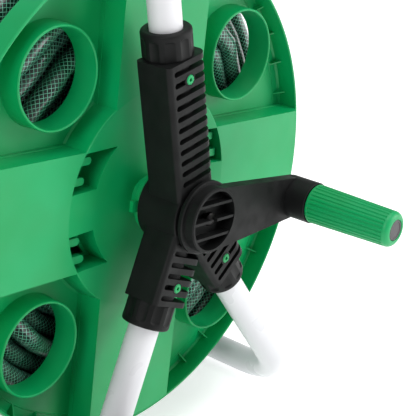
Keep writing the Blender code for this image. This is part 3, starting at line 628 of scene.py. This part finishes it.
def makeCore():
    c = core
    x1, x0 = flange["back"] - c["gap"], 2 * middle / mm - flange["back"] + c["gap"]
    inner = c["radius"] - c["wall"]
    body = turned([(x0, inner), (x0, c["radius"]), (x1, c["radius"]), (x1, inner)], 120)
    low, high = (asin(v / c["radius"]) for v in flange["pocket"][2:])
    for base, sign in ((0, 1), (0, -1), (pi, 1), (pi, -1)):
        for share in c["hookShares"]:
            # the fingers lie side by side, along their beam
            angle = sign * (low + (high - low) * share)
            one = hook()
            one.location = Vector((0, cos(angle) - 1, sin(angle))) * (c["radius"] - 1) * mm
            rolled(one, 0)
            rolled(one, base)
            added(body, otherSide(one), one)
    place(body, "drumCore", "drum", green, "drum_core", drumTurn)


makeCore()
print("core made")


# Hub brackets, nuts, plugs and bushes


bracket = {
    "back": 16.6,
    "front": 56.6,
    "boss": 29,
    "bore": 20.3,
    "armBack": 24,
    "width": 43,
    "openCorner": 9,
    "plainCorner": 4,
    "tubeX": 36.6,
    "slotHeight": 4.2,
    "slotStart": 5,
    "slotPitch": 8.97,
    "firstSlot": 6.5,
    "wall": 3,  # of the shell that the slots go through
    "sleeve": 15.8,  # round the tube's socket, seen through the slots
    "spigot": (16, 12),  # radius and length
    "socket": 12.8,
    "socketDepth": 40,
}
arms = {  # end, number of slots, and the side on which they are open
    "handle": (129.5, 11, 1),
    "rear": (75, 6, -1),
    "front": (75, 6, -1),
}
nut = {"radius": 19.2, "length": 21, "round": 2.5, "flutes": 10, "fluteDepth": 1.1, "fluteRadius": 12}
plug = {"radius": 3.8, "ring": 1.7, "proud": 0.8, "hole": 1.3}
bush = {"bore": 17.35, "radius": 20, "length": 24}


def armBody(end, side):
    b = bracket
    half = b["width"] / 2
    corner, edge = b["openCorner"], b["plainCorner"]
    line = arc(2.5, pi, 1.5 * pi, 4, (b["armBack"] + 2.5, 2.5 - half))
    line += arc(edge, 1.5 * pi, 2 * pi, 5, (b["front"] - edge, edge - half))
    line += arc(corner, 0, pi / 2, 8, (b["front"] - corner, half - corner))
    line += arc(2.5, pi / 2, pi, 4, (b["armBack"] + 2.5, half - 2.5))
    return extruded([(x, side * y, 12) for x, y in line], (0, 0, end - 12))


def slotTool(end, count, side):
    # slots with one round end, going deep round the socket's sleeve
    b = bracket
    r = b["slotHeight"] / 2
    made = []
    for k in range(count):
        z = end - b["firstSlot"] - k * b["slotPitch"]
        start = b["slotStart"] - b["width"] / 2 + r
        line = [(y, h) for y, h in arc(r, pi / 2, 1.5 * pi, 8, (start, z))]
        line += [(b["width"] / 2 + 1, z - r), (b["width"] / 2 + 1, z + r)]
        outline = [(b["tubeX"] + 3, side * y, h) for y, h in line]
        made.append(extruded(outline, (b["front"] - b["tubeX"], 0, 0)))
    tool = joined(made)
    sleeve = [(0, 0), (0, b["sleeve"]), (end + 20, b["sleeve"]), (end + 20, 0)]
    # the arm's plain side wall is left whole
    low, high, wallIn = b["tubeX"] - 5, 90, b["width"] / 2 - b["wall"]
    keep = [(low, side * -wallIn, 0), (low, side * -40, 0), (high, side * -40, 0), (high, side * -wallIn, 0)]
    return cutBy(tool, stood(turned(sleeve, 64), b["tubeX"]), extruded(keep, (0, 0, end + 20)))


def nutPiece(end):
    n = nut
    low, top = end + 0.3, end + n["length"]
    inside = bracket["spigot"][0] + 0.3
    ledge = end + bracket["spigot"][1] + 0.3
    r, socket = n["radius"], bracket["socket"]
    line = [(low, inside), (low, r - 0.6), (low + 0.6, r)]
    line += [(top - n["round"] + h, r - n["round"] + w) for w, h in arc(n["round"], 0, pi / 2, 6)]
    line += [(top, socket + 0.8), (top - 1, socket), (ledge, socket), (ledge, inside)]
    body = stood(turned(line, 120), bracket["tubeX"])
    cutters = []
    for k in range(n["flutes"]):
        angle = 2 * pi * (k + 0.35) / n["flutes"]
        away = (r + n["fluteRadius"] - n["fluteDepth"]) * mm
        shape = [(low - 1, 0), (low - 1, n["fluteRadius"]), (top - 6, n["fluteRadius"])]
        shape += [(top - 4.2, n["fluteRadius"] - 1.1), (top - 4.2, 0)]
        tool = turned(shape, 72, (away * cos(angle), away * sin(angle)))
        cutters.append(stood(tool, bracket["tubeX"]))
    return softened(cutBy(body, joined(cutters)), 0.5)


def plugPiece(z):
    low, high = bracket["front"] - 4.5, bracket["front"] + plug["proud"]
    cap = [(low, 0), (low, plug["radius"]), (high - 0.6, plug["radius"]), (high, plug["radius"] - 0.7)]
    cap += [(high, plug["hole"] + 0.3), (high - 0.4, plug["hole"]), (high - 3, plug["hole"]), (high - 3, 0)]
    return turned(cap, 40, (0, z))


def armPiece(end, count, side, z):
    # the slotted arm, with the nut's spigot, the tube's socket and the plug's seat
    b = bracket
    arm, front = armBody(end, side), b["front"]
    spigot, length = b["spigot"]
    neck = [(end - 1, 0), (end - 1, spigot), (end + length, spigot), (end + length, 0)]
    cutBy(added(arm, stood(turned(neck, 64), b["tubeX"])), slotTool(end, count, side))
    outer = plug["radius"] + plug["ring"]
    collar = [(front - 8, 0), (front - 8, outer), (front - 0.2, outer), (front + 0.3, outer - 0.5)]
    added(arm, turned(collar + [(front + 0.3, 0)], 32, (0, z)))
    seat = plug["radius"] + 0.3
    hole = [(front - 5, 0), (front - 5, seat), (front + 2, seat), (front + 2, 0)]
    deep = end - b["socketDepth"]
    socket = [(deep, 0), (deep, b["socket"]), (end + 30, b["socket"]), (end + 30, 0)]
    return cutBy(arm, turned(hole, 32, (0, z)), stood(turned(socket, 64), b["tubeX"]))


def bushPiece():
    inner, outer, back = bush["bore"], bush["radius"], bracket["back"]
    line = [(back - 1.5, inner + 0.3), (back - 1.5, outer + 3), (back - 0.3, outer + 3), (back - 0.3, outer)]
    line += [(back + bush["length"], outer), (back + bush["length"], inner), (back - 1.2, inner)]
    return softened(turned(line, 96), 0.2)


def makeBrackets():
    b = bracket
    front = b["front"]
    shell = [(b["back"], 0), (b["back"], b["boss"] - 0.8), (b["back"] + 0.8, b["boss"])]
    shell += [(front - 1.6, b["boss"]), (front - 0.8, b["boss"] - 0.8), (front - 0.8, 0)]
    shell = turned(shell, 120)
    plugs, nuts = [], []
    for name, (end, count, side) in arms.items():
        z = (end - b["firstSlot"] - b["slotPitch"]) * mm
        added(shell, rolled(armPiece(end, count, side, z), lean[name]))
        plugs.append((name, rolled(plugPiece(z), lean[name])))
        nuts.append((name, rolled(nutPiece(end), lean[name])))
    cutBy(shell, turned([(0, 0), (0, b["bore"]), (80, b["bore"]), (80, 0)], 96))
    softened(shell)
    placePair(shell, "hubBracket", "frame", black)
    for name, piece in plugs:
        placePair(piece, "tubeLockPlug" + name.capitalize(), "frame", green)
    for name, piece in nuts:
        placePair(piece, "clampNut" + name.capitalize(), "frame", black)
    placePair(bushPiece(), "bearingBush", "frame", acetal)


makeBrackets()
print("brackets made")


# Frame tubes and the handle's foam grip


tubes = {
    "radius": 12.5,
    "wall": 1.2,
    "handleReach": 592,
    "handleBend": 60,
    "footBend": 50,
    "rearEnd": 203,
    "inside": 40,  # length of tube within an arm
    "spread": 30,  # degrees, of the legs
    "sleeve": 150,
    "sleeveWall": 4,
}


def uPath(start, reach, bend):
    # up one side, across and down the other, standing along +Z
    x = bracket["tubeX"]
    line = [(x, start), (x, (start + reach - bend) / 2)]
    line += arc(bend, 0, pi / 2, 16, (x - bend, reach - bend))
    line += [(2 * middle / mm - a, s) for a, s in reversed(line)]
    return [(a, 0, s) for a, s in line]


def tubeAlong(points):
    obj = piped(points, tubes["radius"], 12)
    wall = obj.modifiers.new("wall", "SOLIDIFY")
    wall.thickness = tubes["wall"] * mm
    wall.offset = -1
    bpy.ops.object.modifier_apply(modifier=wall.name)
    return obj


def makeTubes():
    t = tubes
    handle = tubeAlong(uPath(arms["handle"][0] - t["inside"], t["handleReach"], t["handleBend"]))
    place(rolled(handle, lean["handle"]), "handleTube", "frame", white, "handle_tube")
    drop = (drumAxis.z / mm - t["radius"]) / cos(radians(t["spread"]))
    start = arms["rear"][0] - t["inside"]
    foot = rolled(tubeAlong(uPath(start, drop, t["footBend"])), lean["front"])
    place(foot, "frontFootTube", "frame", white, "front_foot_tube")
    x = bracket["tubeX"]
    leg = tubeAlong([(x, 0, start), (x, 0, (start + t["rearEnd"]) / 2), (x, 0, t["rearEnd"])])
    placePair(rolled(leg, lean["rear"]), "rearLeg", "frame", white)
    half, inner = t["sleeve"] / 2, t["radius"] + 0.3
    outer = inner + t["sleeveWall"]
    reach = t["handleReach"] * mm
    centre = (-reach * sin(lean["handle"]), reach * cos(lean["handle"]))
    mid = middle / mm
    line = [(mid - half, inner), (mid - half, outer - 1.5), (mid - half + 1.5, outer)]
    for k in range(-7, 8):  # shallow rings round the foam
        x = mid + k * 9
        line += [(x - 1.6, outer), (x - 0.8, outer - 0.7), (x + 0.8, outer - 0.7), (x + 1.6, outer)]
    line += [(mid + half - 1.5, outer), (mid + half, outer - 1.5), (mid + half, inner)]
    place(softened(turned(line, 96, centre), 0.3), "handleGrip", "frame", foam, "handle_grip")


makeTubes()
print("tubes made")


# Crank


crank = {
    "back": 58.6,
    "front": 71.6,
    "hub": 26.2,
    "skirt": 29.5,
    "wall": 2.6,
    "depth": 11,
    "slats": 3,
    "slat": 2.2,
    "boss": 17.3,
    "bossEnd": 90.5,
    "stub": 12.4,  # into the drum's journal
    "boltHole": 3.3,
    "spindleHole": (5.3, 22),  # radius and depth
}


def crankArmOutline():
    c = crank
    slope = asin((c["hub"] - c["boss"]) / (throw / mm))
    line = arc(c["hub"] - 0.5, pi / 2 - slope, 1.5 * pi + slope, 24)
    return line + arc(c["boss"] - 0.5, -pi / 2 + slope, pi / 2 - slope, 16, (throw / mm, 0))


def makeCrank():
    c = crank
    back = c["back"]
    line = [(back, 0), (back, c["skirt"] - 0.8), (back + 0.8, c["skirt"]), (back + 3.4, c["skirt"])]
    line += [(back + 4.2, c["skirt"] - 0.8), (back + 4.4, c["hub"] + 0.3), (c["front"] - 1, c["hub"])]
    hub = turned(line + [(c["front"], c["hub"] - 0.8), (c["front"], 0)], 120)
    low = back + 2.5
    arm = extruded([(low, y, z) for y, z in crankArmOutline()], (c["front"] - 0.5 - low, 0, 0))
    boss = [(back + 2, 0), (back + 2, c["boss"] - 3), (back + 3, c["boss"] - 1), (back + 5, c["boss"])]
    boss += [(c["bossEnd"] - 0.6, c["boss"]), (c["bossEnd"], c["boss"] - 0.6), (c["bossEnd"], 0)]
    added(hub, arm, turned(boss, 96, (throw, 0)))
    deep = flange["back"] + 2
    stub = [(deep, 0), (deep, c["stub"]), (back + 1, c["stub"]), (back + 1, 0)]
    added(hub, turned(stub, 64))
    inside = c["hub"] - c["wall"]
    floor = c["front"] - c["depth"]
    hollow = turned([(floor, 0), (floor, inside), (c["front"] + 1, inside), (c["front"] + 1, 0)], 120)
    for k in range(c["slats"]):
        z = (k - (c["slats"] - 1) / 2) * 2 * c["hub"] / (c["slats"] + 1)
        square = [(floor + 3, -40, z - c["slat"] / 2), (floor + 3, 40, z - c["slat"] / 2)]
        square += [(floor + 3, 40, z + c["slat"] / 2), (floor + 3, -40, z + c["slat"] / 2)]
        cutBy(hollow, extruded(square, (c["front"] - 0.6 - floor - 3, 0, 0)))
    cutBy(hub, hollow)
    bolt, (spindle, depth) = c["boltHole"], c["spindleHole"]
    low = c["bossEnd"] - depth
    cutBy(hub, turned([(-30, 0), (-30, bolt), (c["front"], bolt), (c["front"], 0)], 32))
    cutBy(hub, turned([(low, 0), (low, spindle), (100, spindle), (100, 0)], 32, (throw, 0)))
    softened(hub)
    place(hub, "crankArm", "drum", black, "crank_arm", drumTurn)


makeCrank()
print("crank made")


# Grip, with its end disc


grip = {
    "length": 77,
    "inner": 16.4,  # radius at the crank
    "outer": 14.8,  # and at the end
    "round": 5,
    "cup": 6,  # depth of the end disc's seat
    "flutes": 28,
    "fluteRadius": 1.1,
    "fluteDepth": 0.85,
    "start": 1.6,
    "plain": 4.5,
    "disc": 8.5,
    "spindle": 5,
}


def makeGrip():
    g = grip
    x0 = crank["bossEnd"] + 0.3
    x1 = x0 + g["length"]
    axis = (throw, 0)
    bore, cup = g["spindle"] + 0.35, g["disc"] + 0.3
    line = [(x0, bore), (x0, g["inner"] - 0.8), (x0 + 0.8, g["inner"]), (x0 + 1.6, g["inner"])]
    r = g["round"]
    line += [(x1 - r + w, g["outer"] - r + h) for h, w in arc(r, 0, pi / 2, 10)]
    line += [(x1, cup + 0.4), (x1 - 0.4, cup), (x1 - g["cup"], cup), (x1 - g["cup"], bore)]
    body = turned(line, 168, axis)
    tools = []
    slope = atan((g["inner"] - g["outer"]) / g["length"])
    for k in range(g["flutes"]):
        r = g["fluteRadius"]
        shape = [(0, 0)] + [(r + r * h, r * w) for h, w in arc(1, pi, pi / 2, 3)]
        length = g["length"] - g["plain"] - g["start"]
        shape += [(length - r - r * h, r * w) for h, w in arc(1, pi / 2, pi, 3)]
        tool = turned(shape, 10)
        tool.rotation_euler.y = slope
        tool.location = ((x0 + g["start"]) * mm, 0, (g["inner"] + r - g["fluteDepth"]) * mm)
        rolled(applied(tool), 2 * pi * k / g["flutes"])
        tool.location.y = throw
        tools.append(applied(tool))
    cutBy(body, joined(tools))
    softened(body, 0.25)
    place(body, "crankGrip", "grip", green, "crank_grip", drumTurn)
    r = g["disc"]
    line = [(x1 - 3, 0), (x1 - 3, r), (x1 - 0.7, r), (x1 - 0.3, r - 0.5), (x1 - 0.3, r - 1.6)]
    disc = turned(line + [(x1 - 0.7, r - 1.8), (x1 - 0.7, 2), (x1 - 0.5, 0)], 64, axis)
    place(disc, "gripEndDisc", "grip", grey, "grip_end_disc", drumTurn)


makeGrip()
print("grip made")


# Hose, wound in layers on the core


hose = {
    "radius": 7.8,
    "sides": 14,
    "pointsPerTurn": 46,
    "layers": 7,
    "turns": 9.2,  # in each layer but the last
    "lastTurns": 8,  # and what is left to the connector
    "flat": 0.12,  # of a turn, at the end
    "rise": 15.7,
    "first": 96.4,  # radius of the first layer's centreline
    "loose": 5,  # how much further out the last layer lies
    "tail": 14,  # length of the fitting's tail
    "entry": 0.7,  # angle over which it rises to the connector's mouth
    "wobble": (0.3, 1.1),  # sideways, within and at the outside
    "cells": 12,  # of the yarn net, round the hose
    "cellLength": 4.4,
    "bulge": (11, 22),  # into the flanges' holes: how far, and over what width
}
connector = {"radius": 10.5, "length": 46, "angle": -5}  # degrees from the crank
elbow = {"x": 2 * middle / mm + 29.9, "pipe": 6, "bore": 4.2, "gap": 0.6}


def hosePath():
    # (x, radius, angle) along the whole length: out along the drum, up at the flange and back
    h = hose
    x0, x1 = elbow["x"], flange["back"] - h["radius"] - elbow["gap"]
    xEnd = flange["back"] - connector["radius"] - elbow["gap"]
    angle = pi / 2 + h["tail"] / h["first"]
    path = []
    end = radians(connector["angle"])
    for layer in range(h["layers"]):
        last = layer == h["layers"] - 1
        r = h["first"] + layer * h["rise"] + (h["loose"] if last else 0)
        turns = h["turns"]
        start, stop = (x0, x1) if layer % 2 == 0 else (x1, x0)
        if last:
            turns = h["lastTurns"] + (end - angle) / (2 * pi) % 1
            stop = xEnd
        sway = h["wobble"][1 if last else 0]
        count = round(turns * h["pointsPerTurn"])
        for k in range(count):
            t = k / count
            a = angle + 2 * pi * turns * t
            swing = sway * sin(1.37 * a + layer) * sin(0.61 * a) * min(1, 8 * t, 8 * (1 - t))
            # the last turn lies against the flange for a while
            share = min(1.0, t * turns / (turns - h["flat"])) if last else t
            path.append((start + (stop - start) * share + swing, r, a))
        angle += 2 * pi * turns
        if not last:
            climb = h["pointsPerTurn"] // 4
            for k in range(climb):
                t = k / climb
                rise = h["rise"] + (h["loose"] if layer == h["layers"] - 2 else 0)
                path.append((stop, r + rise * t * t * (3 - 2 * t), angle + pi / 2 * t))
            angle += pi / 2
    return path, angle, xEnd


def bulged(p):
    # the pack stands out a little into the flanges' four holes
    far, width = hose["bulge"]
    mid = middle / mm
    share = (p.x - mid) / (flange["back"] - mid)
    for quarter in range(4):
        angle = pi / 4 + quarter * pi / 2
        centre = Vector((cos(angle), sin(angle))) * flange["collarCentre"]
        p.x += far * share * exp(-((p.yz - centre).length / width) ** 2)
    return p


def hosePoints():
    # into points, with the last turn rising to the connector's mouth and going in straight
    path, end, xEnd = hosePath()
    h = hose
    seat = h["first"] + (h["layers"] - 1) * h["rise"] - h["radius"] + connector["radius"] + 0.3
    half = connector["length"] / 2
    mouth, mouthRadius = end - atan(half / seat), hypot(seat, half)
    points = []
    for x, r, a in path:
        if a > mouth - 0.02:
            break
        t = max(0.0, 1 - (mouth - a) / h["entry"])
        r += (mouthRadius - r) * t * t * (3 - 2 * t)
        x += (xEnd - x) * t * t * (3 - 2 * t)
        points.append(bulged(Vector((x, r * cos(a), r * sin(a)))))
    outward = Vector((0, cos(end), sin(end)))
    forward = Vector((0, -sin(end), cos(end)))
    middlePoint = Vector((xEnd, 0, 0)) + outward * seat
    points += [middlePoint - forward * half * s for s in (1, 0.75, 0.5, 0.25, 0.05)]
    return [p * mm for p in points]


def hosePipe(points):
    # too long a line to draw point by point, so its points go straight into a curve
    clear()
    bpy.ops.curve.primitive_bezier_curve_add()
    obj = bpy.context.object
    obj.location = (0, 0, 0)
    obj.data.splines.clear()
    line = obj.data.splines.new("POLY")
    line.points.add(len(points) - 1)
    line.points.foreach_set("co", [c for p in points for c in (*p, 0.0)])
    obj.data.twist_mode = "MINIMUM"
    obj.data.bevel_depth = hose["radius"] * mm
    obj.data.bevel_resolution = (hose["sides"] - 4) // 2
    obj.data.use_fill_caps = False
    bpy.ops.object.convert(target="MESH")
    return bpy.context.object


def lengths(points):
    total, made = 0.0, []
    for here, there in zip(points, points[1:] + points[-1:]):
        made.append(total)
        total += (there - here).length
    return made, total


def layNet(obj, along):
    # u runs with the length and v with the angle, both counted in cells of the net
    mesh = obj.data
    sides = len(mesh.vertices) // len(along)
    net = mesh.uv_layers.new(name="net") if not mesh.uv_layers else mesh.uv_layers[0]
    net.name = "net"
    for face in mesh.polygons:
        rings = [v // sides for v in face.vertices]
        steps = [v % sides for v in face.vertices]
        wraps = max(steps) - min(steps) > 1
        for loop, ring, step in zip(face.loop_indices, rings, steps):
            v = sides if wraps and step == 0 else step
            net.data[loop].uv = (along[ring] / (hose["cellLength"] * mm), v * hose["cells"] / sides)


def hosePvc():
    # clear PVC over a nearly black green core, with a knitted net of mint polyester yarn
    # between them: two sets of lines that cross in diamonds, and a gloss over everything
    material, tree, shader, spot = newMaterial("pvcHose", "#06301F", 0.22, ior=1.53)
    net = addNode(tree, "ShaderNodeUVMap", {"uv_map": "net"})
    axes = addNode(tree, "ShaderNodeSeparateXYZ", Vector=net.outputs[0])
    lines = []
    for operation in ("ADD", "SUBTRACT"):
        along, across = axes.outputs[0], axes.outputs[1]
        diagonal = addNode(tree, "ShaderNodeMath", {"operation": operation}, i0=along, i1=across)
        wave = addNode(tree, "ShaderNodeMath", {"operation": "PINGPONG"}, i0=diagonal.outputs[0], i1=0.5)
        lines.append(ranged(tree, wave.outputs[0], 1, 0, 0.03, 0.065))
    yarn = addNode(tree, "ShaderNodeMath", {"operation": "MAXIMUM"}, i0=lines[0], i1=lines[1])
    cloud = ranged(tree, grain(tree, spot, 30), 0, 1)
    coreColour = mixedColour(tree, cloud, "#01120C", "#03261A")
    yarnColour = mixedColour(tree, ranged(tree, grain(tree, spot, 6), 0, 1), "#63CDA9", "#9CEFD3")
    tree.links.new(mixedColour(tree, yarn.outputs[0], coreColour, yarnColour), shader.inputs["Base Color"])
    shader.inputs["Coat Weight"].default_value = 0.6
    shader.inputs["Coat Roughness"].default_value = 0.28
    roughened(tree, shader, grain(tree, spot, 15), 0.2, 0.34)
    bumped(tree, shader, yarn.outputs[0], 0.15, 0.6)
    return material


def fittingTail():
    # from the elbow's pipe up through the core and into the hose's first turn
    h = hose
    angles = [pi / 2 - 0.05 + (h["tail"] / h["first"] + 0.05) * k / 8 for k in range(9)]
    line = [(elbow["x"], h["first"] * cos(a), h["first"] * sin(a)) for a in angles]
    tail = piped(line, h["radius"] - 0.3, 8, capped=True)
    low = core["radius"] - core["wall"] - 1.7
    stem = [(low, 0), (low, elbow["pipe"] - 0.5), (low + 0.5, elbow["pipe"])]
    stem += [(h["first"], elbow["pipe"]), (h["first"], 0)]
    added(tail, stood(turned(stem, 48), elbow["x"]))
    bore = [(low - 1, 0), (low - 1, elbow["bore"]), (h["first"] - 3, elbow["bore"]), (h["first"] - 3, 0)]
    return softened(cutBy(tail, stood(turned(bore, 32), elbow["x"])), 0.4)


def connectorBody():
    # a quick connector: collar, finger grooves and a latch ring
    c = connector
    half, r, tube = c["length"] / 2, c["radius"], hose["radius"] + 0.3
    line = [(-half, tube + 0.4), (-half, r - 1.8)]
    line += [(-half + 1.8 - w, r - 1.8 + h) for w, h in arc(1.8, 0, pi / 2, 5)][1:]
    for k in range(5):  # grooves for the fingers
        x = -half + 5 + 3.1 * k
        line += [(x, r), (x + 0.5, r - 0.7), (x + 1.4, r - 0.7), (x + 1.9, r)]
    line += [(half * 0.3, r), (half * 0.34, r - 1.2), (half * 0.5, r - 1.2), (half * 0.54, r), (half - 1, r)]
    line += [(half, r - 1), (half, 6.5), (half * 0.4, 5), (0.5, 5), (0.5, tube)]
    body = stood(turned(line, 96), flange["back"] - r - elbow["gap"])
    seat = hose["first"] + (hose["layers"] - 1) * hose["rise"] - hose["radius"] + r + 0.3
    body.location.y = seat * mm
    return rolled(softened(applied(body), 0.3), radians(c["angle"]))


def makeHose():
    points = hosePoints()
    along, total = lengths(points)
    obj = hosePipe(points)
    layNet(obj, along)
    tail = place(fittingTail(), "hoseInletFitting", "drum", black, "hose_inlet_fitting", drumTurn)
    end = place(connectorBody(), "hoseConnector", "drum", black, "hose_connector", drumTurn)
    place(obj, "gardenHose", "drum", hosePvc(), "hose", drumTurn)
    print("hose length", round(total, 3))


makeHose()
print("hose made")


# Axle, wheels and caps


wheel = {
    "inner": 56.9,
    "outer": 84.9,
    "radius": 66,
    "rim": 58,
    "hub": 14,
    "bore": 5.35,
    "edge": 3,
    "web": 4,
    "ribs": 6,
    "ribThick": 3.2,
    "treads": 36,
    "tread": (3, 1.6, 5),  # width, depth and slant
}
axleFromDrum = (axleAxis - drumAxis).yz / mm


def wheelBody():
    w = wheel
    x0, x1 = w["inner"], w["outer"]
    mid, web, edge = (x0 + x1) / 2, w["web"] / 2, w["edge"]
    shoulder = w["radius"] - edge
    line = [(x0, w["bore"]), (x0, w["hub"] - 0.8), (x0 + 0.8, w["hub"]), (mid - web, w["hub"] + 1)]
    line += [(mid - web, w["rim"] - 1.5), (mid - web - 1.5, w["rim"]), (x0 + 1, w["rim"] + 0.6)]
    line += [(x0 + 1 + edge - edge * a, shoulder + edge * b) for a, b in arc(1, 0, pi / 2, 6)]
    line += [(x1 - edge + edge * b, shoulder + edge * a) for a, b in arc(1, 0, pi / 2, 6)]
    line += [(x1, w["rim"] + 0.6), (mid + web + 1.5, w["rim"]), (mid + web, w["rim"] - 1.5)]
    line += [(mid + web, w["hub"] + 1), (x1 - 0.8, w["hub"]), (x1, w["hub"] - 0.8), (x1, w["bore"])]
    body = turned(line, 144)
    ribs = []
    for k in range(w["ribs"]):
        side = [(x0 + 3, w["hub"] - 1), (x0 + 3, w["hub"] + 14)]
        side += [(x0 + 6, w["rim"] - 10), (x0 + 3, w["rim"] + 1)]
        outline = side + [(x0 + x1 - x, y) for x, y in reversed(side)]
        rib = extruded([(x, y, -w["ribThick"] / 2) for x, y in outline], (0, 0, w["ribThick"]))
        ribs.append(rolled(rib, 2 * pi * k / w["ribs"]))
    added(body, *ribs)
    # grooves across the tread, slanting left and right in turn, cut in two rounds so that no
    # two cutters meet
    width, depth, slant = w["tread"]
    low = w["radius"] - depth
    for first, lead in ((0, -slant), (1, slant)):
        grooves = []
        for k in range(first, w["treads"], 2):
            near = [(x0 + 4, low, half - lead) for half in (-width / 2, width / 2)]
            far = [(x1 - 3, low, half + lead) for half in (width / 2, -width / 2)]
            grooves.append(rolled(extruded(near + far, (0, 6, 0)), 2 * pi * k / w["treads"]))
        cutBy(body, joined(grooves))
    return softened(body, 0.5)


def atAxle(obj):
    obj.location = (0, axleFromDrum.x * mm, axleFromDrum.y * mm)
    return applied(obj)


def makeWheels():
    w = wheel
    body = atAxle(wheelBody())
    x = w["outer"] + 0.3
    outer = w["hub"] + 2
    line = [(x, outer - 4), (x, outer - 0.4), (x + 0.4, outer), (x + 4, outer)]
    line += [(x + 4 + 4.7 * sin(a), outer - 5 + 5 * cos(a)) for a in (0.4, 0.8, 1.2, pi / 2)]
    line += [(x + 8.7, 0), (x + 6.7, 0), (x + 6.7, outer - 6), (x + 4, outer - 4)]
    cap = atAxle(softened(turned(line, 96), 0.3))
    for side, piece, tip in (("Left", otherSide(body), otherSide(cap)), ("Right", body, cap)):
        rides = f"{side.lower()}_wheel"
        place(piece, f"wheel{side}", rides, tyre, f"wheel_{side.lower()}")
        place(tip, f"wheelCap{side}", rides, green, f"wheel_cap_{side.lower()}")


makeWheels()
print("wheels made")


# Small hardware that keeps the frame's own shapes, with its edges rounded


kept = {  # node: body, finish, slot and width of the rounding
    "axle_bracket": ("frame", black, "moulded_black", 0.6),
    "axle_spacer": ("frame", black, "moulded_black", 0.4),
    "axle_push_nut": ("frame", zinc, "zinc_steel", 0.2),
    "axle_rod": ("frame", zinc, "zinc_steel", 0.3),
    "inlet_nipple": ("frame", black, "moulded_black", 0.3),
    "inlet_seal": ("frame", rubber, "seal_rubber", 0.05),
    "swivel_elbow": ("drum", black, "moulded_black", 0.3),
    "crank_bolt": ("drum", oxide, "oxide_steel", 0.2),
    "crank_washer": ("drum", zinc, "zinc_steel", 0.2),
    "crank_nut": ("drum", zinc, "zinc_steel", 0.2),
    "grip_spindle": ("drum", zinc, "zinc_steel", 0.2),
}


def makeSmallParts():
    for stem, (body, finish, slotName, width) in kept.items():
        for node in (stem, f"{stem}_left", f"{stem}_right"):
            if node not in frame["nodes"]:
                continue
            piece = softened(copied(frame["nodes"][node]), width)
            bpy.ops.object.shade_smooth_by_angle(angle=radians(30))
            first, *others = node.split("_")
            name = first + "".join(word.capitalize() for word in others)
            dressed(piece, name, body, finish, node)


makeSmallParts()
print("small parts made")


# Floor and lights


studio = {
    "floor": "#F4F4F4",
    "floorSize": 60,  # in metres, past the horizon
    "glow": 0.55,  # the sweep is lit from behind too
    "world": 0.35,
    "lights": [  # place, size and power, all aimed at the drum
        ("top", (0.3, 0.4, 2.6), 2.2, 40),
        ("key", (2.2, 2.0, 1.0), 1.4, 52),
        ("front", (0.9, -2.2, 1.9), 0.9, 22),
    ],
}


def floorVinyl():
    # matt vinyl sweep: near white, with a faint mottle
    material, tree, shader, spot = newMaterial("vinylSweep", studio["floor"], 0.8, ior=1.5)
    clouded(tree, shader, grain(tree, spot, 300), "#F3F3F3", "#F6F6F6")
    shader.inputs["Emission Color"].default_value = linear("#FFFFFF")
    shader.inputs["Emission Strength"].default_value = studio["glow"]
    return material


def makeStudio():
    clear()
    bpy.ops.mesh.primitive_plane_add(size=studio["floorSize"])
    floor = bpy.context.object
    floor.name = "floor"
    floor.data.materials.append(floorVinyl())
    for name, spot, size, power in studio["lights"]:
        bpy.ops.object.light_add(type="AREA", location=spot)
        lamp = bpy.context.object
        lamp.name = name
        lamp.data.size = size
        lamp.data.energy = power
        lamp.rotation_euler = (drumAxis - Vector(spot)).to_track_quat("-Z", "Y").to_euler()
    bpy.context.scene.view_settings.view_transform = "Standard"
    world = bpy.data.worlds.new("studio") if not bpy.context.scene.world else bpy.context.scene.world
    bpy.context.scene.world = world
    world.use_nodes = True
    shade = world.node_tree.nodes["Background"]
    shade.inputs["Color"].default_value = (1, 1, 1, 1)
    shade.inputs["Strength"].default_value = studio["world"]


makeStudio()
